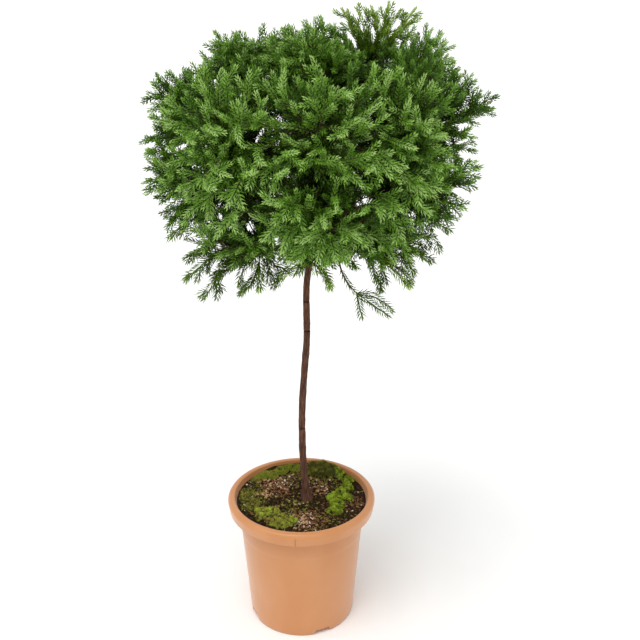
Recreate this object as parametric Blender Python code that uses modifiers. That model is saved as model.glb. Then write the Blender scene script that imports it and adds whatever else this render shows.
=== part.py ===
"""Potted Japanese cedar: a dwarf globe conifer grown as a standard, in its container.

Metres, +Z up, with the origin at the centre of the pot's flat underside and the front of the
plant towards -Y.  Each object of the collection is one closed solid:

    pot            tapered container with a hollow rolled rim and four drainage notches
    soil, moss_*   potting mix filling the pot, and the moss cushions that lie on it
    trunk          bare stem, from its flat cut on the soil to the fork
    bough_*        one tapering limb for each mass of foliage
    mass_*         one stem with twigs, and sprays of needles fused to them

The crown is round.  A direction from its centre has a reach, which the lobes in MASSES set, and
every spray aims at a point of that surface.  Each mass keeps to the points that are nearer to its
own heart than to any other heart, so two masses never meet.
"""

import math
from dataclasses import dataclass

import bmesh
import bpy
import numpy as np
from mathutils import Quaternion, Vector

# ---------------------------------------------------------------- driving dimensions (metres)
CLEAR = 0.0003  # between two solids that touch
SEED = 41

POT_HEIGHT = 0.253
POT_STEPS = 40
RIM_RADIUS = 0.140
RIM_DROP = 0.0268  # how far the rolled rim hangs down outside the wall
SHOULDER = POT_HEIGHT - RIM_DROP  # height of the rim's lower edge
MOUTH_RADIUS = 0.1252
SHOULDER_RADIUS = 0.1196  # outside of the wall where it meets the rim's lower edge
FOOT_RADIUS = 0.1013
WALL = 0.0028
FLOOR = 0.0045
LIP_ROUND = 0.006
MOUTH_ROUND = 0.003
MOUTH_DRAFT = 0.0008  # the inside of the rim closes in by this much below its lip
STEP_DROP = 0.004  # the step under the rim starts this far below the shoulder
FOOT_FILLET = 0.006  # inside, where the wall meets the floor
FOOT_CHAMFER = 0.0025
NOTCHES = 4
NOTCH_WIDTH = 0.036
NOTCH_HEIGHT = 0.009
NOTCH_DEPTH = 0.013
NOTCH_AZIMUTH = math.radians(294)

SOIL_TOP = 0.2370
SOIL_DIP = 0.0050  # the soil rounds down by this much against the wall
SOIL_FLAT_RADIUS = 0.113
SOIL_SIDE_CLEAR = CLEAR * 1.5  # the wall is faceted, so the gap to it is a little wider

TRUNK_RADIUS = 0.0060
TRUNK_TAPER = 0.0010  # lost between the soil and the fork
FLARE = 0.0075  # added to the radius at the soil
FLARE_FADE = 0.014
FORK_SWELL = 0.0022
FORK_SWELL_LENGTH = 0.10
# (height, x) of the trunk's centre line, a long shallow S that leans to the right in the crown
TRUNK_LINE = (
    (SOIL_TOP + CLEAR, 0.0100),
    (0.315, 0.0042),
    (0.420, 0.0022),
    (0.500, 0.0066),
    (0.560, 0.0112),
    (0.700, 0.0150),
    (0.813, 0.0455),
)
TRUNK_RINGS = 22
TRUNK_CROWDING = 1.4  # above 1 the rings lie closer together towards the foot

CROWN_CENTRE = np.array([0.035, 0.0, 0.905])
CROWN_TOP = 1.136
LOBE_SHARPNESS = 26.0  # how quickly the reach changes from one lobe to the next
HEART_SHARE = 0.68  # a mass's heart lies this far along its reach
STEM_LEAD = 0.045  # a bough ends this far short of the heart

BOUGH_LOWEST = 0.717
BOUGH_HIGHEST = 0.788
BOUGH_BASE_RADIUS = 0.0031
FORK_BASE_RADIUS = 0.0029  # of the boughs that sit on the leader's
BOUGH_TIP_RADIUS = 0.0021
BOUGH_RINGS = 5
LEADER_SOCKET = 0.006  # the leader's bough carries the trunk's end on this far before it bends
STEM_TIP_RADIUS = 0.0012
TWIG_RADIUS = 0.0015

OUTER_AIMS = 58  # sprays spread over the crown's surface
BALL_RADIUS = 0.031  # of the dense middle of a mass
CLUMP_REACH = 0.090  # from the heart to the points of the short sprays round the middle
CLUMP_ROOM = 0.005
CLUMP_BACK = -0.35  # the ball stays bare where it faces the trunk more than this
FORK_ANGLE = math.radians(45)  # between a stem and its twigs
TWIG_LIFT = 0.38  # how far a twig turns upwards in the top of the crown
LIFT_FROM = 0.030  # the turn starts this far below the centre
LIFT_SPAN = 0.15  # and is whole this much higher
SIDE_ANGLE = math.radians(42)  # between a twig and a side spray
SIDE_CHANCE = 0.2
CELL_MARGIN = 0.0009
LIMB_MARGIN = 0.0012
OVERREACH = 0.004  # how far past the crown's surface a spray may end
SPRAY_SPACING = 0.024  # least distance between the outer halves of two sprays

NEEDLE_REACH = 0.019  # from a spray's axis to its needles' points
NEEDLE_LEAN = 0.017  # how far a needle's point lies ahead of its foot
CORE_RADIUS = 0.0034
WHORL = 0.028  # from one whorl of needles to the next
END_WHORLS = 3
SIDE_WHORLS = 2
END_NEEDLE = NEEDLE_LEAN * 1.3  # the needle that ends a spray
WHORL_TWIST = math.radians(24)
ROOT = 0.012  # a spray's root lies this deep in its twig


@dataclass(frozen=True)
class Mass:
    """A mass of foliage, by the direction and distance of its furthest tip from the centre."""

    name: str
    azimuth: float  # degrees from +X, counter-clockwise from above
    elevation: float  # degrees above the level
    reach: float


MASSES = (
    Mass("low_centre", 264, -69, 0.232),
    Mass("back_low", 87, -66, 0.250),
    Mass("low_right", 332, -51, 0.268),
    Mass("low_left", 206, -45, 0.312),
    Mass("back_right", 43, -12, 0.270),
    Mass("front_low", 274, -24, 0.262),
    Mass("back_left", 138, -14, 0.272),
    Mass("right_low", 353, -18, 0.270),
    Mass("front", 270, 21, 0.266),
    Mass("left_low", 185, -14, 0.297),
    Mass("back", 90, -20, 0.262),
    Mass("front_right", 319, 21, 0.270),
    Mass("left", 173, 17, 0.303),
    Mass("right_fan", 6, 14, 0.300),
    Mass("front_left", 222, 17, 0.275),
    Mass("top_left", 159, 42, 0.266),
    Mass("back_top", 90, 27, 0.255),
    Mass("top_right", 16, 36, 0.276),
    Mass("front_top", 266, 69, 0.222),
    Mass("top", 120, 66, 0.215),
    Mass("leader", 36, 57, 0.280),
)
LEADER = "leader"
# The boughs that fork from the leader's own, at these shares of its length
LEADER_FORKS = {"back_top": 0.16, "front_top": 0.30, "top": 0.46, "top_right": 0.62}

# The one long spray that hangs free below the crown and forks near its end
DROOP_NAME = "drooping_spray"
DROOP_ROOT = np.array([0.0665, -0.050, 0.740])
DROOP_BEND = np.array([0.100, -0.060, 0.678])
DROOP_TIPS = (np.array([0.159, -0.060, 0.651]), np.array([0.105, -0.064, 0.638]))
DROOP_ATTACH = 0.7050


# ---------------------------------------------------------------- vectors and paths
def unit(vector):
    return vector / np.linalg.norm(vector)


def towards(azimuth, elevation):
    """Unit vector for an azimuth and an elevation in degrees."""
    a, e = math.radians(azimuth), math.radians(elevation)
    return np.array([math.cos(e) * math.cos(a), math.cos(e) * math.sin(a), math.sin(e)])


def lattice(count):
    """Unit vectors spread evenly over a sphere, each turned by the golden angle from the last."""
    k = np.arange(count)
    turn = math.pi * (3 - math.sqrt(5)) * k
    height = 1 - (2 * k + 1) / count
    ring = np.sqrt(1 - height**2)
    return np.column_stack([ring * np.cos(turn), ring * np.sin(turn), height])


def arc_path(start, control, end, count):
    """Points along the parabola from start to end whose tangents meet at control."""
    t = np.linspace(0, 1, count)[:, None]
    return (1 - t) ** 2 * start + 2 * t * (1 - t) * control + t**2 * end


def path_lengths(path):
    return np.concatenate([[0], np.cumsum(np.linalg.norm(np.diff(path, axis=0), axis=1))])


def path_at(path, distance):
    """Point of a path at a distance from its start; past either end it runs on straight."""
    lengths = path_lengths(path)
    k = int(np.clip(np.searchsorted(lengths, distance) - 1, 0, len(path) - 2))
    share = (distance - lengths[k]) / (lengths[k + 1] - lengths[k])
    return path[k] + share * (path[k + 1] - path[k])


def path_heading(path, distance):
    step = 0.002
    return unit(path_at(path, distance + step) - path_at(path, distance - step))


def distance_to_path(points, path):
    """Shortest distance from each point to a path."""
    a, b = path[:-1], path[1:]
    run = b - a
    share = np.einsum("psk,sk->ps", points[:, None] - a, run) / (run**2).sum(axis=1)
    nearest = a + np.clip(share, 0, 1)[..., None] * run
    return np.linalg.norm(points[:, None] - nearest, axis=2).min(axis=1)


# ---------------------------------------------------------------- Blender helpers
def clear_scene():
    for obj in list(bpy.data.objects):
        bpy.data.objects.remove(obj, do_unlink=True)


def new_collection(name):
    made = bpy.data.collections.new(name)
    bpy.context.scene.collection.children.link(made)
    return made


def material(name, colour, roughness):
    made = bpy.data.materials.new(name)
    made.use_nodes = True
    shader = made.node_tree.nodes["Principled BSDF"]
    shader.inputs["Base Color"].default_value = (*colour, 1)
    shader.inputs["Roughness"].default_value = roughness
    shader.inputs["Metallic"].default_value = 0
    return made


def add_object(name, data, collection, finish=None):
    obj = bpy.data.objects.new(name, data)
    collection.objects.link(obj)
    if finish:
        data.materials.append(finish)
    return obj


def mesh_object(name, bm, collection, finish=None):
    mesh = bpy.data.meshes.new(name)
    bm.to_mesh(mesh)
    bm.free()
    return add_object(name, mesh, collection, finish)


def hide_cutter(obj):
    obj.hide_render = True
    obj.display_type = "WIRE"


def cut(obj, cutter, name):
    made = obj.modifiers.new(name, "BOOLEAN")
    made.operation = "DIFFERENCE"
    made.solver = "EXACT"
    made.object = cutter


def as_mesh(obj, collection):
    """Replaces a curve, or an object with modifiers, by the mesh that it makes."""
    graph = bpy.context.evaluated_depsgraph_get()
    mesh = bpy.data.meshes.new_from_object(obj.evaluated_get(graph))
    bm = bmesh.new()
    bm.from_mesh(mesh)
    bmesh.ops.remove_doubles(bm, verts=bm.verts, dist=1e-6)
    bmesh.ops.recalc_face_normals(bm, faces=bm.faces)
    bm.to_mesh(mesh)
    bm.free()
    name, matrix = obj.name, obj.matrix_world.copy()
    bpy.data.objects.remove(obj, do_unlink=True)
    made = bpy.data.objects.new(name, mesh)
    made.matrix_world = matrix
    collection.objects.link(made)
    return made


def limb(name, points, radii, collection, finish=None, bevel_resolution=1):
    """A tapering round limb through the points, with flat ends."""
    curve = bpy.data.curves.new(name, "CURVE")
    curve.dimensions = "3D"
    curve.bevel_depth = 1
    curve.bevel_resolution = bevel_resolution
    curve.use_fill_caps = True
    spline = curve.splines.new("POLY")
    spline.points.add(len(points) - 1)
    for place, point, radius in zip(spline.points, points, radii, strict=True):
        place.co = (*point, 1)
        place.radius = radius
    obj = as_mesh(add_object(name, curve, collection), collection)
    if finish:
        obj.data.materials.append(finish)
    obj.data.shade_smooth()
    return obj


def turned(name, profile, collection, finish, steps=POT_STEPS):
    """A solid turned about Z from (radius, height) points that run down its outer side."""
    mesh = bpy.data.meshes.new(name)
    points = [(radius, 0, height) for radius, height in profile]
    mesh.from_pydata(points, [(k, k + 1) for k in range(len(points) - 1)], [])
    obj = add_object(name, mesh, collection, finish)
    screw = obj.modifiers.new("turn", "SCREW")
    screw.steps = steps
    screw.render_steps = steps
    screw.use_merge_vertices = True
    screw.merge_threshold = 1e-5
    return obj


def corner(centre, radius, start, end, count):
    """(radius, height) points of a rounded corner, between two angles in degrees."""
    angles = np.radians(np.linspace(start, end, count))
    return [(centre[0] + radius * math.cos(a), centre[1] + radius * math.sin(a)) for a in angles]


# ---------------------------------------------------------------- pot, soil and moss
def wall_outside(height):
    """Outer radius of the pot's wall at a height."""
    return FOOT_RADIUS + (SHOULDER_RADIUS - FOOT_RADIUS) * height / SHOULDER


def pot_profile():
    """The pot's wall from the middle of its floor up the inside, over the rim and down outside."""
    hem = WALL / 2
    under_lip = POT_HEIGHT - LIP_ROUND
    return [
        (0, FLOOR),
        (wall_outside(FLOOR) - WALL - FOOT_FILLET, FLOOR),
        (wall_outside(FLOOR + FOOT_FILLET) - WALL, FLOOR + FOOT_FILLET),
        (wall_outside(SHOULDER) - WALL, SHOULDER - STEP_DROP),
        (MOUTH_RADIUS - MOUTH_DRAFT, under_lip),
        *corner((MOUTH_RADIUS + MOUTH_ROUND, POT_HEIGHT - MOUTH_ROUND), MOUTH_ROUND, 180, 90, 3),
        *corner((RIM_RADIUS - LIP_ROUND, under_lip), LIP_ROUND, 90, 0, 4),
        *corner((RIM_RADIUS - hem - MOUTH_DRAFT, SHOULDER + hem), hem, 0, -180, 4),
        (RIM_RADIUS - WALL * 1.4, under_lip - WALL),
        (MOUTH_RADIUS + WALL * 1.4, under_lip - WALL / 2),
        (wall_outside(SHOULDER), SHOULDER - STEP_DROP / 2),
        (wall_outside(FOOT_CHAMFER), FOOT_CHAMFER),
        (FOOT_RADIUS - FOOT_CHAMFER, 0),
        (0, 0),
    ]


def make_pot(collection, cutters, finish):
    pot = turned("pot", pot_profile(), collection, finish)
    for k in range(NOTCHES):
        angle = NOTCH_AZIMUTH + k * 2 * math.pi / NOTCHES
        bm = bmesh.new()
        bmesh.ops.create_cube(bm, size=1)
        size = Vector((NOTCH_DEPTH * 2, NOTCH_WIDTH, NOTCH_HEIGHT * 2))
        bmesh.ops.scale(bm, vec=size, verts=bm.verts)
        bmesh.ops.bevel(
            bm,
            geom=[e for e in bm.edges if abs(e.verts[0].co.x - e.verts[1].co.x) > NOTCH_DEPTH],
            offset=NOTCH_HEIGHT * 0.6,
            segments=2,
            profile=0.5,
            affect="EDGES",
        )
        cutter = mesh_object(f"notch_{k}", bm, cutters)
        cutter.location = (FOOT_RADIUS * math.cos(angle), FOOT_RADIUS * math.sin(angle), 0)
        cutter.rotation_euler.z = angle
        hide_cutter(cutter)
        cut(pot, cutter, f"notch {k}")
    return pot


def make_soil(collection, finish):
    """The potting mix: it fills the pot to just below the rim and rounds down at the wall."""
    edge = SOIL_TOP - SOIL_DIP
    inside = WALL + SOIL_SIDE_CLEAR
    step = SHOULDER - STEP_DROP
    step_radius = wall_outside(SHOULDER)
    slope = (MOUTH_RADIUS - MOUTH_DRAFT - step_radius + WALL) / (POT_HEIGHT - LIP_ROUND - step)
    return turned(
        "soil",
        [
            (0, SOIL_TOP),
            (SOIL_FLAT_RADIUS, SOIL_TOP),
            (SOIL_FLAT_RADIUS + SOIL_DIP, SOIL_TOP - 0.3 * SOIL_DIP),
            (step_radius - inside + (edge - step) * slope, edge),
            (step_radius - inside, step),
            (wall_outside(FLOOR + FOOT_FILLET) - inside, FLOOR + FOOT_FILLET),
            (wall_outside(FLOOR) - inside - FOOT_FILLET, FLOOR + CLEAR),
            (0, FLOOR + CLEAR),
        ],
        collection,
        finish,
    )


# name, centre x and y, half length, half width, height, turn in degrees
MOSS_CUSHIONS = (
    ("moss_right", 0.070, -0.012, 0.040, 0.024, 0.008, 100),
    ("moss_front_left", -0.046, -0.086, 0.034, 0.015, 0.007, 155),
    ("moss_back_left", -0.066, 0.080, 0.026, 0.012, 0.006, 35),
    ("moss_back_right", 0.048, 0.094, 0.024, 0.013, 0.015, 165),
)


def make_moss(name, x, y, half_length, half_width, height, turn, collection, finish):
    """A low cushion: the upper half of a ball, cut flat and pressed out to its size."""
    bm = bmesh.new()
    bmesh.ops.create_icosphere(bm, subdivisions=2, radius=1)
    whole = [*bm.verts, *bm.edges, *bm.faces]
    sliced = bmesh.ops.bisect_plane(
        bm, geom=whole, plane_co=(0, 0, 0.02), plane_no=(0, 0, 1), clear_inner=True
    )
    rim = [item for item in sliced["geom_cut"] if isinstance(item, bmesh.types.BMEdge)]
    bmesh.ops.edgeloop_fill(bm, edges=rim)
    bmesh.ops.translate(bm, verts=bm.verts, vec=(0, 0, -0.02))
    bmesh.ops.scale(bm, vec=(half_length, half_width, height), verts=bm.verts)
    bmesh.ops.recalc_face_normals(bm, faces=bm.faces)
    obj = mesh_object(name, bm, collection, finish)
    obj.location = (x, y, SOIL_TOP + CLEAR)
    obj.rotation_euler.z = math.radians(turn)
    obj.data.shade_smooth()
    return obj


# ---------------------------------------------------------------- trunk and boughs
def trunk_point(height):
    """Centre of the trunk at a height: a smooth cubic between the knots of TRUNK_LINE."""
    knots = np.array(TRUNK_LINE)
    slopes = np.gradient(knots[:, 1], knots[:, 0])
    slopes[0] = 0
    k = int(np.clip(np.searchsorted(knots[:, 0], height) - 1, 0, len(knots) - 2))
    span = knots[k + 1, 0] - knots[k, 0]
    t = (height - knots[k, 0]) / span
    x = (
        (2 * t**3 - 3 * t**2 + 1) * knots[k, 1]
        + (t**3 - 2 * t**2 + t) * span * slopes[k]
        + (3 * t**2 - 2 * t**3) * knots[k + 1, 1]
        + (t**3 - t**2) * span * slopes[k + 1]
    )
    return np.array([x, 0, height])


def trunk_radius(height):
    foot, fork = TRUNK_LINE[0][0], TRUNK_LINE[-1][0]
    share = (height - foot) / (fork - foot)
    swell = max(0.0, 1 - (fork - height) / FORK_SWELL_LENGTH)
    return (
        TRUNK_RADIUS
        + TRUNK_TAPER * (0.5 - share)
        + FLARE * math.exp(-(height - foot) / FLARE_FADE)
        + FORK_SWELL * swell
    )


def trunk_rings():
    """Centres and radii of the trunk's rings, close together where the foot flares."""
    foot, fork = TRUNK_LINE[0][0], TRUNK_LINE[-1][0]
    heights = foot + (fork - foot) * np.linspace(0, 1, TRUNK_RINGS) ** TRUNK_CROWDING
    centres = np.array([trunk_point(h) for h in heights])
    return centres, np.array([trunk_radius(h) for h in heights])


def make_seat(name, centres, radii, cutters, bevel_resolution):
    """A hidden copy of a limb, CLEAR wider all round, that cuts the seats of what it carries."""
    seat = limb(name, centres, np.asarray(radii) + CLEAR, cutters, None, bevel_resolution)
    hide_cutter(seat)
    return seat


def make_trunk(collection, cutters, finish):
    centres, radii = trunk_rings()
    limb("trunk", centres, radii, collection, finish, bevel_resolution=3)
    return make_seat("trunk_seat", centres, radii, cutters, bevel_resolution=3)


class Crown:
    """Where the masses of foliage lie, and the space that each keeps to."""

    def __init__(self):
        self.lobes = np.array([towards(m.azimuth, m.elevation) for m in MASSES])
        self.reaches = np.array([m.reach for m in MASSES])
        spread = self.lobes * self.reaches[:, None]
        self.hearts = CROWN_CENTRE + HEART_SHARE * spread
        self.tips = CROWN_CENTRE + spread

    def reach(self, direction):
        """Distance from the crown's centre to its surface: the lobes' reaches, blended."""
        weights = np.exp(LOBE_SHARPNESS * (self.lobes @ direction - 1))
        blend = weights @ self.reaches / weights.sum()
        return min(blend, (CROWN_TOP - CROWN_CENTRE[2]) / max(direction[2], 1e-6))

    def holds(self, point):
        """Whether a point lies within the crown's surface."""
        outward = point - CROWN_CENTRE
        return bool(np.linalg.norm(outward) < self.reach(unit(outward)) + OVERREACH)

    def owner(self, point):
        return int(np.linalg.norm(self.hearts - point, axis=1).argmin())

    def inside(self, k, points):
        """Whether all points lie nearer to heart k than to any other, by the margin."""
        others = np.delete(self.hearts, k, axis=0)
        heart = self.hearts[k]
        gap = others - heart
        across = np.linalg.norm(gap, axis=1)
        depth = (points - heart) @ (gap / across[:, None]).T - across / 2
        return bool((depth < -CELL_MARGIN).all())


@dataclass
class Limb:
    """A limb's centre line and its radius along it, for keeping foliage clear of it."""

    name: str
    path: np.ndarray
    radius: float

    def clears(self, points, room):
        return bool((distance_to_path(points, self.path) > self.radius + room + LIMB_MARGIN).all())


def bough_path(start, end):
    """Leaves the trunk steeply and levels out towards its end."""
    run = end - start
    control = start + 0.42 * run + np.array([0, 0, 0.16 * np.linalg.norm(run[:2])])
    return arc_path(start, control, end, BOUGH_RINGS)


def bough_end(start, heart):
    return heart - STEM_LEAD * unit(heart - start)


def make_leader_bough(crown, collection, cutters, finish):
    """The trunk's own line carried on from its fork; the highest boughs sit on it."""
    centres, radii = trunk_rings()
    onward = unit(centres[-1] - centres[-2])
    start = centres[-1] + CLEAR * onward
    bend = start + LEADER_SOCKET * onward
    end = bough_end(start, crown.hearts[-1])
    arc = arc_path(bend, bend + 0.4 * np.linalg.norm(end - bend) * onward, end, BOUGH_RINGS)
    path = np.vstack([start, arc])
    taper = np.linspace(radii[-1], BOUGH_TIP_RADIUS, len(path))
    limb(f"bough_{LEADER}", path, taper, collection, finish)
    seat = make_seat("leader_seat", path, taper, cutters, bevel_resolution=1)
    return Limb(f"bough_{LEADER}", path, radii[-1]), seat


def make_boughs(crown, trunk_seat, collection, cutters, finish):
    """A bough for every mass, which leave the trunk in turn from the lowest to the highest."""
    leader, leader_seat = make_leader_bough(crown, collection, cutters, finish)
    limbs = [leader]
    on_trunk = len(MASSES) - len(LEADER_FORKS) - 1
    for k, mass in enumerate(MASSES[:-1]):
        if mass.name in LEADER_FORKS:
            along = LEADER_FORKS[mass.name] * path_lengths(leader.path)[-1]
            start, seat, base = path_at(leader.path, along), leader_seat, FORK_BASE_RADIUS
        else:
            height = BOUGH_LOWEST + (BOUGH_HIGHEST - BOUGH_LOWEST) * len(limbs) / on_trunk
            start, seat, base = trunk_point(height), trunk_seat, BOUGH_BASE_RADIUS
        path = bough_path(start, bough_end(start, crown.hearts[k]))
        radii = np.linspace(base, BOUGH_TIP_RADIUS, BOUGH_RINGS)
        bough = limb(f"bough_{mass.name}", path, radii, collection, finish)
        cut(bough, seat, "seat")
        limbs.append(Limb(bough.name, path, base))
    return limbs


# ---------------------------------------------------------------- foliage
def straight_form(length, base_radius, tip_radius, rings):
    """A three-sided tapering rod along Z from 0, in equal lengths."""
    bm = bmesh.new()
    bmesh.ops.create_cone(
        bm,
        cap_ends=True,
        segments=3,
        radius1=base_radius,
        radius2=tip_radius,
        depth=length,
    )
    bmesh.ops.translate(bm, verts=bm.verts, vec=(0, 0, length / 2))
    if rings > 1:
        lengthwise = [
            e for e in bm.edges if abs(e.verts[0].co.z - e.verts[1].co.z) > length / 2
        ]
        bmesh.ops.subdivide_edges(bm, edges=lengthwise, cuts=rings - 1)
    return bm


def spray_form(whorls):
    """A slim core whose every face is drawn out into a needle that leans forward."""
    length = whorls * WHORL
    bm = straight_form(length, CORE_RADIUS, CORE_RADIUS * 0.6, whorls)
    for vertex in bm.verts:
        angle = WHORL_TWIST * vertex.co.z / WHORL
        x, y = vertex.co.x, vertex.co.y
        vertex.co.x = x * math.cos(angle) - y * math.sin(angle)
        vertex.co.y = x * math.sin(angle) + y * math.cos(angle)
    bm.normal_update()
    caps = [f for f in bm.faces if abs(f.normal.z) > 0.95]
    top = max(caps, key=lambda f: f.calc_center_median().z)
    sides = [f for f in bm.faces if f not in caps]
    drawn = bmesh.ops.poke(bm, faces=sides)["verts"]
    for apex in drawn:
        share = apex.co.z / length
        out = Vector((apex.co.x, apex.co.y)).normalized() * NEEDLE_REACH * (1.05 - 0.4 * share)
        apex.co.x, apex.co.y = out
        apex.co.z += NEEDLE_LEAN
    for apex in bmesh.ops.poke(bm, faces=[top])["verts"]:
        apex.co.z += END_NEEDLE
    return bm


def sides_of(heading):
    """Two unit vectors square to a heading and to each other, the second pointing upwards."""
    across = np.cross(heading, (0, 0, 1))
    if np.linalg.norm(across) < 1e-3:
        across = np.array([1.0, 0, 0])
    across = unit(across)
    return across, np.cross(across, heading)


def lay_along(bm, path, start):
    """Bends a straight form so that its Z axis follows a path from a distance along it."""
    for vertex in bm.verts:
        distance = start + vertex.co.z
        across, upwards = sides_of(path_heading(path, distance))
        vertex.co = Vector(path_at(path, distance) + vertex.co.x * across + vertex.co.y * upwards)
    return bm


def points_of(bm):
    return np.array([tuple(v.co) for v in bm.verts])


def spray_length(whorls):
    return whorls * WHORL + END_NEEDLE


class Foliage:
    """Grows one mass: a stem from the bough's tip, twigs that leave it, and their sprays."""

    def __init__(self, k, crown, limbs, workshop):
        self.k = k
        self.crown = crown
        self.limbs = limbs
        self.workshop = workshop
        self.random = np.random.default_rng([SEED, k])
        self.bough = next(b for b in limbs if b.name == f"bough_{MASSES[k].name}")
        self.stem = self.stem_path()
        self.pieces = []
        self.axes = []

    def stem_path(self):
        """From 0.3 mm past the bough's tip, through the heart, most of the way to the tip."""
        end = self.bough.path[-1]
        start = end + CLEAR * unit(end - self.bough.path[-2])
        heart, tip = self.crown.hearts[self.k], self.crown.tips[self.k]
        last = heart + 0.30 * (tip - heart)
        return arc_path(start, start + 0.8 * (heart - start), last, 9)

    def fits(self, bm, axis):
        """Whether a spray stays in the mass's space, clear of the limbs and of other sprays."""
        if not self.crown.inside(self.k, points_of(bm)):
            return False
        if not self.crown.holds(axis[-1]):
            return False
        outer_half = axis[len(axis) // 2 :]
        if any(distance_to_path(outer_half, a).min() < SPRAY_SPACING for a in self.axes):
            return False
        points = points_of(bm)
        return all(b.clears(axis, NEEDLE_REACH / 2) and b.clears(points, 0) for b in self.limbs)

    def keep(self, bm):
        self.pieces.append(mesh_object(f"piece_{len(self.pieces)}", bm, self.workshop))

    def add_stem(self):
        length = path_lengths(self.stem)[-1]
        bm = straight_form(length, BOUGH_TIP_RADIUS, STEM_TIP_RADIUS, 3)
        lay_along(bm, self.stem, 0)
        self.keep(bm)

    def has_room(self, start, end):
        """Whether a short spray from start to end stays in the mass's space and off the limbs."""
        line = start + np.linspace(0.2, 1, 7)[:, None] * (end - start)
        clear = all(b.clears(line, CLUMP_ROOM) for b in self.limbs)
        return clear and self.crown.inside(self.k, line) and self.crown.holds(end)

    def add_clump(self):
        """The dense middle: a ball whose faces are drawn out into short sprays, as far as fits."""
        heart = self.crown.hearts[self.k]
        radius = BALL_RADIUS
        while not all(b.clears(heart[None], radius) for b in self.limbs):
            radius *= 0.9
        bm = bmesh.new()
        bmesh.ops.create_icosphere(bm, subdivisions=2, radius=radius)
        turn = Quaternion(self.random.normal(size=3), self.random.uniform(0, math.pi))
        bmesh.ops.rotate(bm, verts=bm.verts, matrix=turn.to_matrix())
        bm.normal_update()
        lobe = Vector(self.crown.lobes[self.k])
        outer = [f for f in bm.faces if f.normal.dot(lobe) > CLUMP_BACK]
        for apex in bmesh.ops.poke(bm, faces=outer)["verts"]:
            out = np.array(apex.co.normalized())
            reach = CLUMP_REACH * self.random.uniform(0.62, 1)
            while reach > radius and not self.has_room(heart, heart + reach * out):
                reach -= 0.003
            apex.co = Vector(max(reach, radius) * out)
        bmesh.ops.translate(bm, verts=bm.verts, vec=heart)
        self.keep(bm)

    def add_spray(self, path, whorls):
        """A spray of needles over the last part of a path; the path is a bare twig before it."""
        total = path_lengths(path)[-1]
        whorls = min(whorls, int((total - END_NEEDLE) / WHORL))
        if whorls < 1:
            return False
        start = total - spray_length(whorls)
        axis = np.array([path_at(path, d) for d in np.arange(start, total, 0.005)])
        spray = lay_along(spray_form(whorls), path, start)
        if not self.fits(spray, axis):
            spray.free()
            return False
        twig = None
        if start > ROOT:
            twig = lay_along(straight_form(start + ROOT, TWIG_RADIUS, TWIG_RADIUS * 0.8, 2), path, 0)
            bare = np.array([path_at(path, d) for d in np.arange(0, start, 0.005)])
            others = [b for b in self.limbs if b is not self.bough]
            clear = all(b.clears(bare, TWIG_RADIUS) for b in others)
            if not clear or not self.crown.inside(self.k, points_of(twig)):
                twig.free()
                spray.free()
                return False
        self.axes.append(axis)
        self.keep(spray)
        if twig:
            self.keep(twig)
        return True

    def leaving_distance(self, target):
        """Where on the stem a straight twig to the target leaves it nearest to FORK_ANGLE."""
        length = path_lengths(self.stem)[-1]
        distances = np.linspace(0.06, 0.96, 16) * length
        cosines = [
            unit(target - path_at(self.stem, d)) @ path_heading(self.stem, d) for d in distances
        ]
        return distances[int(np.abs(np.array(cosines) - math.cos(FORK_ANGLE)).argmin())]

    def add_twig(self, target, whorls):
        """A twig to the target that turns up in the top of the crown and down in its foot."""
        start = path_at(self.stem, self.leaving_distance(target))
        away = unit(target - self.crown.hearts[self.k])
        lift = np.clip((target[2] - CROWN_CENTRE[2] + LIFT_FROM) / LIFT_SPAN, -0.7, 1)
        heading = unit(away + TWIG_LIFT * lift * np.array([0, 0, 1]))
        control = target - 0.5 * np.linalg.norm(target - start) * heading
        path = arc_path(start, control, target, 9)
        if self.add_spray(path, whorls) and self.random.random() < SIDE_CHANCE:
            self.add_side_spray(path)

    def add_side_spray(self, path):
        """A shorter spray that leaves a twig to one side, a little past its middle."""
        total = path_lengths(path)[-1]
        distance = total * self.random.uniform(0.30, 0.45)
        heading = path_heading(path, distance)
        across, upwards = sides_of(heading)
        roll = self.random.uniform(0, 2 * math.pi)
        for turn in range(6):
            angle = roll + turn * math.pi / 3
            sideways = math.cos(angle) * across + math.sin(angle) * upwards
            course = math.cos(SIDE_ANGLE) * heading + math.sin(SIDE_ANGLE) * sideways
            root = path_at(path, distance) - 0.003 * course
            end = root + spray_length(SIDE_WHORLS) * course
            if self.add_spray(arc_path(root, (root + end) / 2, end, 3), SIDE_WHORLS):
                return

    def grow(self, aims):
        self.add_stem()
        self.add_clump()
        self.add_twig(self.crown.tips[self.k], END_WHORLS)
        for target in aims:
            self.add_twig(target, END_WHORLS)


def largest_shell(obj):
    """Keeps the outer skin of a fused mesh: sealed hollows fill and loose scraps go."""
    bm = bmesh.new()
    bm.from_mesh(obj.data)
    bmesh.ops.triangulate(bm, faces=bm.faces)
    unseen = set(bm.faces)
    shells = []
    while unseen:
        shell = {unseen.pop()}
        edge = list(shell)
        while edge:
            linked = {f for e in edge.pop().edges for f in e.link_faces} & unseen
            unseen -= linked
            shell |= linked
            edge.extend(linked)
        shells.append(shell)
    largest = max(shells, key=len)
    loose = [f for shell in shells if shell is not largest for f in shell]
    bmesh.ops.delete(bm, geom=loose, context="FACES")
    bm.to_mesh(obj.data)
    bm.free()


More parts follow.
